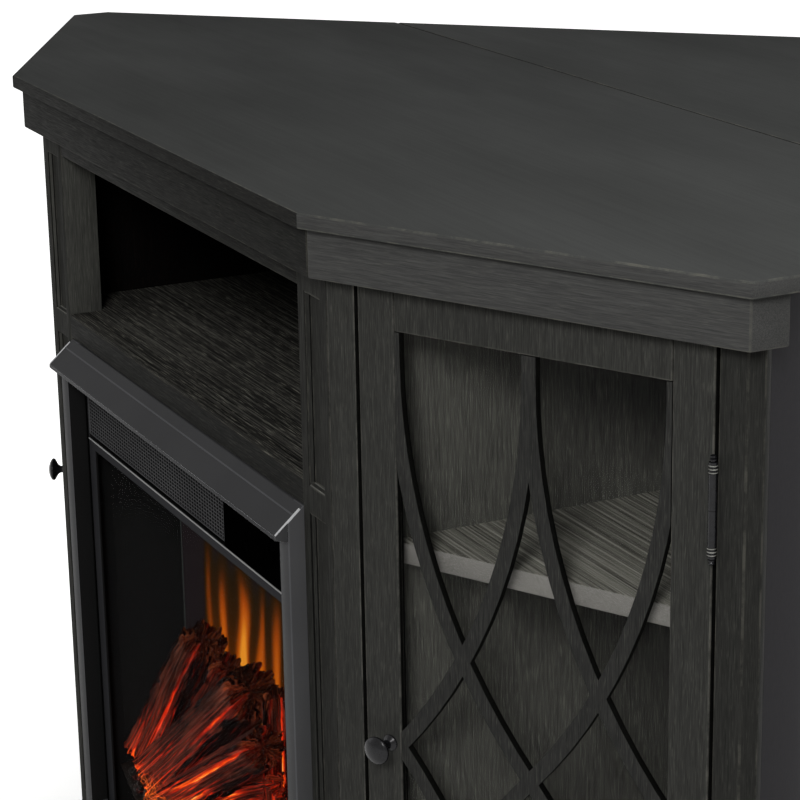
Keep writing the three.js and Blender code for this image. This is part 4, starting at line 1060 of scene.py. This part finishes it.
def chamber_place(shares):
    """A place in the fire chamber from its shares."""
    across, deep, up = shares
    glass_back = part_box("firebox_glass")[1].y
    screen_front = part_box("flame_screen")[0].y
    bed_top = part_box("ember_bed")[1].z
    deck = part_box("firebox_glass")[1].z
    return Vector((
        across * CHAMBER_HALF,
        glass_back + deep * (screen_front - glass_back),
        bed_top + up * (deck - bed_top),
    ))


def crack_shape(index, angle, share, splits):
    """How deep the cracks cut here, their light and how it spreads, each from 0 to 1."""
    depth = light = halo = 0
    for crack in range(LOG_CRACKS):
        turn = splits[crack % len(splits)] + CRACK_SPREAD * (crack - LOG_CRACKS / 2)
        turn += CRACK_WANDER * noise.noise(Vector((share * 1.8, crack * 7.7, index * 2.3)))
        turn += CRACK_WAVER * noise.noise(Vector((share * 15, crack * 2.9, index * 4.1)))
        away = (math.degrees(angle) - turn + 180) % 360 - 180
        run = noise.noise(Vector((share * 1.5, crack * 3.3, index * 5.1 + 2)))
        opened = min(1, max(0, 0.35 + 1.7 * run))
        depth = max(depth, opened * math.exp(-((away / CRACK_CUT) ** 2)))
        light = max(light, opened * math.exp(-((away / CRACK_LIGHT) ** 2)))
        halo = max(halo, opened * math.exp(-abs(away) / CRACK_HALO))
    return depth, light, halo


def log_section(index, angle, share, radius, splits):
    """A log's radius at a turn and a share of its length, and whether it is split wood there."""
    ring = Vector((math.cos(angle), math.sin(angle), 0))
    seed = Vector((17.3 * index, 5.1 * index, 0))
    lump = noise.noise(ring * 1.1 + Vector((0, 0, share * 2.2)) + seed)
    knots = noise.noise(ring * 2.6 + Vector((0, 0, share * 6)) + seed)
    furrow = abs(noise.noise(ring * 5.5 + Vector((0, 0, share * 4.5)) + seed))
    plates = noise.noise(ring * 9 + Vector((0, 0, share * 13)) + seed)
    swell = LOG_LUMP_SHARE * lump + LOG_KNOT_SHARE * knots
    reach = radius * (1 + swell - LOG_TAPER_SHARE * share)
    reach += BARK_DEPTH * (min(1, 4 * furrow) - 1 + PLATE_SHARE * plates)
    split = 0
    for number, split_turn in enumerate(splits):
        sway = SPLIT_SWAY * noise.noise(Vector((share * 2.1, number * 9.0, index * 3.0)))
        facing = math.cos(angle - math.radians(split_turn + sway))
        flat = radius * (SPLIT_SHARE + 0.08 * lump) / facing if facing > 0.2 else reach
        if flat < reach:
            reach = flat
            split = 1
    if split:
        ledge = noise.noise(Vector((ring.x * 8, ring.y * 8, share * 0.9)) + seed)
        strand = noise.noise(Vector((ring.x * 24, ring.y * 24, share * 2.5)) + seed)
        reach += LEDGE_HEIGHT * (round(2.5 * ledge) / 2.5 + 0.2 * strand)
    return reach, split


def make_log(index, shares):
    """One split log: ridged bark, flat split faces with glowing cracks, and torn ends."""
    start, end = chamber_place(shares["from"]), chamber_place(shares["to"])
    length = (end - start).length
    lengthwise = (end - start).normalized()
    towards = Vector((0, -1, 0))
    outward = (towards - towards.project(lengthwise)).normalized()
    sideways = lengthwise.cross(outward)
    radius = shares["girth"] * LOG_RADIUS
    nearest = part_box("firebox_glass")[1].y + MM
    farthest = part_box("flame_screen")[0].y - MM
    bed_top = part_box("ember_bed")[1].z
    log = added(
        f"fire_log_{index + 1}", bpy.ops.mesh.primitive_grid_add, size=1,
        x_subdivisions=LOG_AROUND, y_subdivisions=LOG_ALONG)
    masks = {"split": [], "glow": [], "halo": [], "torn": [], "ember_light": []}
    for vertex in log.data.vertices:
        along = vertex.co.y + 0.5
        angle = 2 * math.pi * (vertex.co.x + 0.5)
        inward = min(1, along / LOG_CAP_SHARE, (1 - along) / LOG_CAP_SHARE)
        share = min(1, max(0, (along - LOG_CAP_SHARE) / (1 - 2 * LOG_CAP_SHARE)))
        reach, split = log_section(index, angle, share, radius, shares["splits"])
        depth, light, halo = crack_shape(index, angle, share, shares["splits"])
        reach -= CRACK_DEPTH * depth
        across = Vector((math.cos(angle), math.sin(angle), 0)) * reach * inward
        fibres = noise.cell(across / STRAND_WIDTH) + 0.5 * noise.noise(across / (3 * STRAND_WIDTH))
        torn = max(0, 1 - min(share, 1 - share) / TORN_SHARE)
        outwards = 1 if along > 0.5 else -1
        height = share * length + outwards * torn * SPLINTER_LENGTH * (fibres - 0.7)
        spot = start + lengthwise * height + outward * across.x + sideways * across.y
        spot.y = min(farthest, max(nearest, spot.y))
        vertex.co = spot
        # The painted ember light is strongest at a log's foot, where it lies in the embers.
        rise = (spot.z - bed_top) / EMBER_LIGHT_HEIGHT
        masks["split"].append(split)
        masks["glow"].append(light * inward * (1.25 - 0.85 * share))
        masks["halo"].append(halo * (1.1 - 0.6 * share))
        masks["torn"].append(max(1 - inward ** 4, torn ** 2))
        masks["ember_light"].append(math.exp(-max(0, rise)))
    for name, values in masks.items():
        mask = log.data.attributes.new(name, "FLOAT", "POINT")
        mask.data.foreach_set("value", values)
    close_shell(log)
    paint(log, LOG_RESIN)
    stands_for(log, "log_set")


def bed_height(y):
    """The top of the sloped ember bed at a depth."""
    low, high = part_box("ember_bed")
    share = min(1, max(0, (y - low.y) / (high.y - low.y)))
    front = low.z + BED_FRONT
    return front + (high.z - front) * share


def bank_height(x):
    """How far the coals are heaped up against the chamber's end walls."""
    return BANK_HEIGHT * max(0, (abs(x) - CHAMBER_HALF) / BANK_WIDTH + 1)


def make_bed():
    """The rough ember bed, lit from below."""
    low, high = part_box("ember_bed")
    bed = added(
        "ember_bed_cast", bpy.ops.mesh.primitive_grid_add, size=1,
        x_subdivisions=BED_CELLS[0], y_subdivisions=BED_CELLS[1])
    for vertex in bed.data.vertices:
        x = low.x + (vertex.co.x + 0.5) * (high.x - low.x)
        y = low.y + (vertex.co.y + 0.5) * (high.y - low.y)
        rough = noise.fractal(Vector((x, y, 0)) / BED_GRIT, 1, 2, 4)
        vertex.co = (x, y, bed_height(y) + bank_height(x) + BED_ROUGHNESS * (rough - 1))
    modify(bed, "SOLIDIFY", thickness=BED_SHEET, offset=-1)
    bpy.ops.object.shade_smooth_by_angle(angle=SHARP_ANGLE)
    paint(bed, COAL_BED)
    stands_for(bed, "ember_bed")


def coal_shapes():
    """A few broken coals with a radius of about 1, to be copied."""
    shapes = []
    for kind in range(COAL_KINDS):
        coal = added("coal", bpy.ops.mesh.primitive_ico_sphere_add, subdivisions=3, radius=1)
        seed = Vector((kind * 7.0, kind * 3.0, 0))
        for vertex in coal.data.vertices:
            lump = noise.noise(vertex.co * 1.3 + seed)
            facet = noise.cell(vertex.co * 1.6 + seed)
            fine = noise.noise(vertex.co * 5 + seed)
            vertex.co *= 1 + 0.35 * lump + 0.16 * facet + 0.08 * fine
        shapes.append(coal)
    return shapes


def make_coals():
    """Loose coals on the bed, some of them heaped up at the chamber's ends."""
    low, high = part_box("ember_bed")
    shapes = coal_shapes()
    chance = random.Random(7)
    coals = []
    for _ in range(COAL_COUNT):
        coal = bpy.data.objects.new("coal", chance.choice(shapes).data.copy())
        bpy.context.scene.collection.objects.link(coal)
        x = chance.uniform(low.x + COAL_SIZE, high.x - COAL_SIZE)
        if chance.random() < BANK_SHARE:
            x = math.copysign(high.x - COAL_SIZE - chance.random() * BANK_WIDTH, x)
        y = chance.uniform(low.y + COAL_SIZE, high.y - COAL_SIZE)
        size = COAL_SIZE * chance.uniform(*COAL_RANGE)
        turn = [chance.uniform(0, 2 * math.pi) for _ in range(3)]
        rise = bed_height(y) + bank_height(x) + COAL_LIFT * size
        put(coal, (x, y, rise), turn, [size * share for share in COAL_SHAPE])
        coals.append(coal)
    for shape in shapes:
        bpy.data.objects.remove(shape)
    heap = join("ember_coals", *coals)
    bpy.ops.object.shade_smooth_by_angle(angle=SHARP_ANGLE)
    paint(heap, COAL)
    stands_for(heap, "ember_bed")


def hood_strip(name, across, width, shares, proud, finish):
    """A thin strip on the hood's slope, between two shares of its length."""
    low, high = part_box("firebox_hood")
    start, end = shares
    share = (start + end) / 2
    place = (across, low.y + share * HOOD_REACH, high.z - (1 - share) * HOOD_RISE)
    size = (width, (end - start) * HOOD_SLOPE, 2 * proud)
    strip = block(name, size, place, (math.atan2(HOOD_RISE, HOOD_REACH), 0, 0))
    paint(strip, finish)
    ride_on(strip, "firebox_hood")


def dress_hood():
    """The hood, with a painted highlight along its lip and its two ends, and a fold across its slope
    drawn as a lighter strip, also a painted highlight.
    """
    plain, bright = HOOD_STEEL
    hood = eased("firebox_hood", HOOD_STEEL, METAL_EASE)
    low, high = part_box("firebox_hood")

    def off_the_highlights(face):
        near_lip = face.center.y < low.y + 2 * METAL_EASE
        near_end = min(face.center.x - low.x, high.x - face.center.x) < METAL_EASE
        return not near_lip and not (near_end and face.center.z > low.z)

    # Painted highlight: the eased faces keep the near-white finish only along the lip and the ends.
    refinish(hood, plain, off_the_highlights)
    width = high.x - low.x
    fold_half = FOLD_WIDTH / 2 / HOOD_SLOPE
    fold_shares = (FOLD_SHARE - fold_half, FOLD_SHARE + fold_half)
    hood_strip("hood_sheet", 0, width - 2 * METAL_EASE, SHEET_SHARES, SHEET_PROUD, plain)
    # The fold's strip is lighter grey, a painted highlight.
    hood_strip("hood_fold", 0, width - 4 * METAL_EASE, fold_shares, 2 * SHEET_PROUD, TRIM_HIGHLIGHT)
    for side, sign in SIDES.items():
        across = sign * (width - END_HIGHLIGHT_WIDTH) / 2
        hood_strip(f"hood_end_highlight_{side}", across, END_HIGHLIGHT_WIDTH, END_HIGHLIGHT_SHARES, 2 * SHEET_PROUD, bright)


def dress_fireplace():
    """The fireplace: its painted steel, its works, and the fire behind the glass."""
    trim = eased("firebox_trim", [TRIM_STEEL, TRIM_HIGHLIGHT, CASE_STEEL], METAL_EASE)
    # Painted shade: the trim's inner returns take the case's near-black steel.
    refinish(trim, CASE_STEEL, lambda face: (
        abs(face.normal.x) > SQUARE_ON and face.normal.x * face.center.x < 0))
    dress_hood()
    case = eased("firebox_case", [CASE_STEEL, CASE_FRONT], METAL_EASE / 2)
    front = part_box("firebox_case")[0].y
    refinish(case, CASE_STEEL)
    refinish(case, CASE_FRONT, lambda face: (
        face.normal.y < -SQUARE_ON and face.center.y < front + MM))
    repaint("control_panel", GLOSS_PANEL)
    repaint("firebox_glass", FIRE_GLASS)
    repaint("flame_screen", SCREEN)
    for node in ("flame_rotor", "blower_wheel", "heater_housing"):
        repaint(node, ALUMINIUM)
    repaint("power_inlet", NYLON)
    make_grille()
    make_deck_bead()
    make_panel_marks()
    make_bed()
    make_coals()
    for index, shares in enumerate(LOG_SHARES):
        make_log(index, shares)


def dress_doors():
    """The doors' glass, knobs and hinges."""
    for side in SIDES:
        repaint(f"door_{side}_glass", DOOR_GLASS)
    make_knobs()
    make_hinges()


# The photograph's camera, solved from the cabinet's edges
CAMERA_PLACE = (2.15463, -1.22326, 1.32793)
CAMERA_YAW = 1.12243
CAMERA_PITCH = 0.29999
CAMERA_ROLL = -0.01841
CAMERA_LENS = 116.10
SENSOR_WIDTH = 36
CLIP_START = 0.05

# The studio: where each lamp stands and points, its width in metres and its power in watts
LAMPS = {
    "key": ((3.7, -2.9, 3.1), (0.2, -0.3, 0.4), 1.4, 155),
    "fill": ((-2.4, -3.6, 2.0), (0, -0.3, 0.4), 2.6, 18),
    "overhead": ((0.95, 0.15, 1.75), (0.75, 0.05, 0.87), 0.9, 7),
}
WORLD_LIGHT = 0.24
FLOOR_RADIUS = 30
# The floor's glow rises between these distances from the stand's middle, in metres
WHITE_FROM = 0.4
WHITE_BY = 1.0
WHITE_SHARES = (0.35, 0.97)


def make_camera():
    """The camera at the photograph's viewing angle."""
    camera = bpy.data.objects.new("camera", bpy.data.cameras.new("camera"))
    bpy.context.scene.collection.objects.link(camera)
    camera.location = CAMERA_PLACE
    turn = (
        Matrix.Rotation(CAMERA_YAW, 3, "Z")
        @ Matrix.Rotation(math.pi / 2 - CAMERA_PITCH, 3, "X")
        @ Matrix.Rotation(CAMERA_ROLL, 3, "Z")
    )
    camera.rotation_euler = turn.to_euler()
    camera.data.sensor_width = SENSOR_WIDTH
    camera.data.lens = CAMERA_LENS
    camera.data.clip_start = CLIP_START
    bpy.context.scene.camera = camera


def area_lamp(name, place, target, size, power):
    """A round soft lamp that faces its target."""
    lamp = bpy.data.objects.new(name, bpy.data.lights.new(name, "AREA"))
    lamp.data.shape = "DISK"
    lamp.data.size = size
    lamp.data.energy = power
    lamp.location = place
    lamp.rotation_euler = (Vector(target) - Vector(place)).to_track_quat("-Z", "Y").to_euler()
    bpy.context.scene.collection.objects.link(lamp)


def seen_background(tree):
    """1 for rays of the camera, of mirrors and through glass, and 0 for the light on the object."""
    path = add_node(tree, "LightPath")
    seen = add_node(tree, "Math", {
        0: path.outputs["Is Camera Ray"], 1: path.outputs["Is Glossy Ray"]}, operation="MAXIMUM")
    return add_node(tree, "Math", {
        0: seen, 1: path.outputs["Is Transmission Ray"]}, operation="MAXIMUM")


def pale_floor():
    """A pale sheet. Cameras, mirrors and glass see it lifted to white, less its shadows."""
    material, tree = new_material("pale_floor")
    place = add_node(tree, "TexCoord").outputs["Object"]
    grit = add_node(tree, "TexNoise", {"Vector": place, "Scale": 3, "Detail": 3})
    tone = add_node(tree, "ValToRGB", {"Fac": grit}, [(0.3, "#efefed"), (0.7, "#f3f3f1")])
    away = add_node(tree, "VectorMath", {0: place}, operation="LENGTH").outputs["Value"]
    white = add_node(tree, "MapRange", {
        "Value": away, "From Min": WHITE_FROM, "From Max": WHITE_BY,
        "To Min": WHITE_SHARES[0], "To Max": WHITE_SHARES[1]})
    lift = add_node(tree, "Math", {0: seen_background(tree), 1: white}, operation="MULTIPLY")
    surface(tree, Base_Color=tone, Roughness=0.9, Specular_IOR_Level=0.1,
            Emission_Color=linear("#ffffff"), Emission_Strength=lift)
    floor = added(
        "studio_floor", bpy.ops.mesh.primitive_circle_add, vertices=64, radius=FLOOR_RADIUS,
        fill_type="NGON")
    paint(floor, material)


def make_studio():
    """A world that looks white and lights the object softly, three lamps and the floor."""
    world = bpy.data.worlds.new("studio")
    bpy.context.scene.world = world
    world.use_nodes = True
    tree = world.node_tree
    tree.nodes.clear()
    strength = add_node(tree, "MapRange", {
        "Value": seen_background(tree), "To Min": WORLD_LIGHT, "To Max": 1.0})
    light = add_node(tree, "Background", {"Color": linear("#ffffff"), "Strength": strength})
    add_node(tree, "OutputWorld", {"Surface": light})
    for name, settings in LAMPS.items():
        area_lamp(name, *settings)
    pale_floor()


make_camera()
make_studio()
dress_carcase()
dress_sides()
dress_top()
dress_floor()
dress_shelves()
dress_doors()
dress_fireplace()
bpy.context.scene.view_settings.view_transform = "Standard"
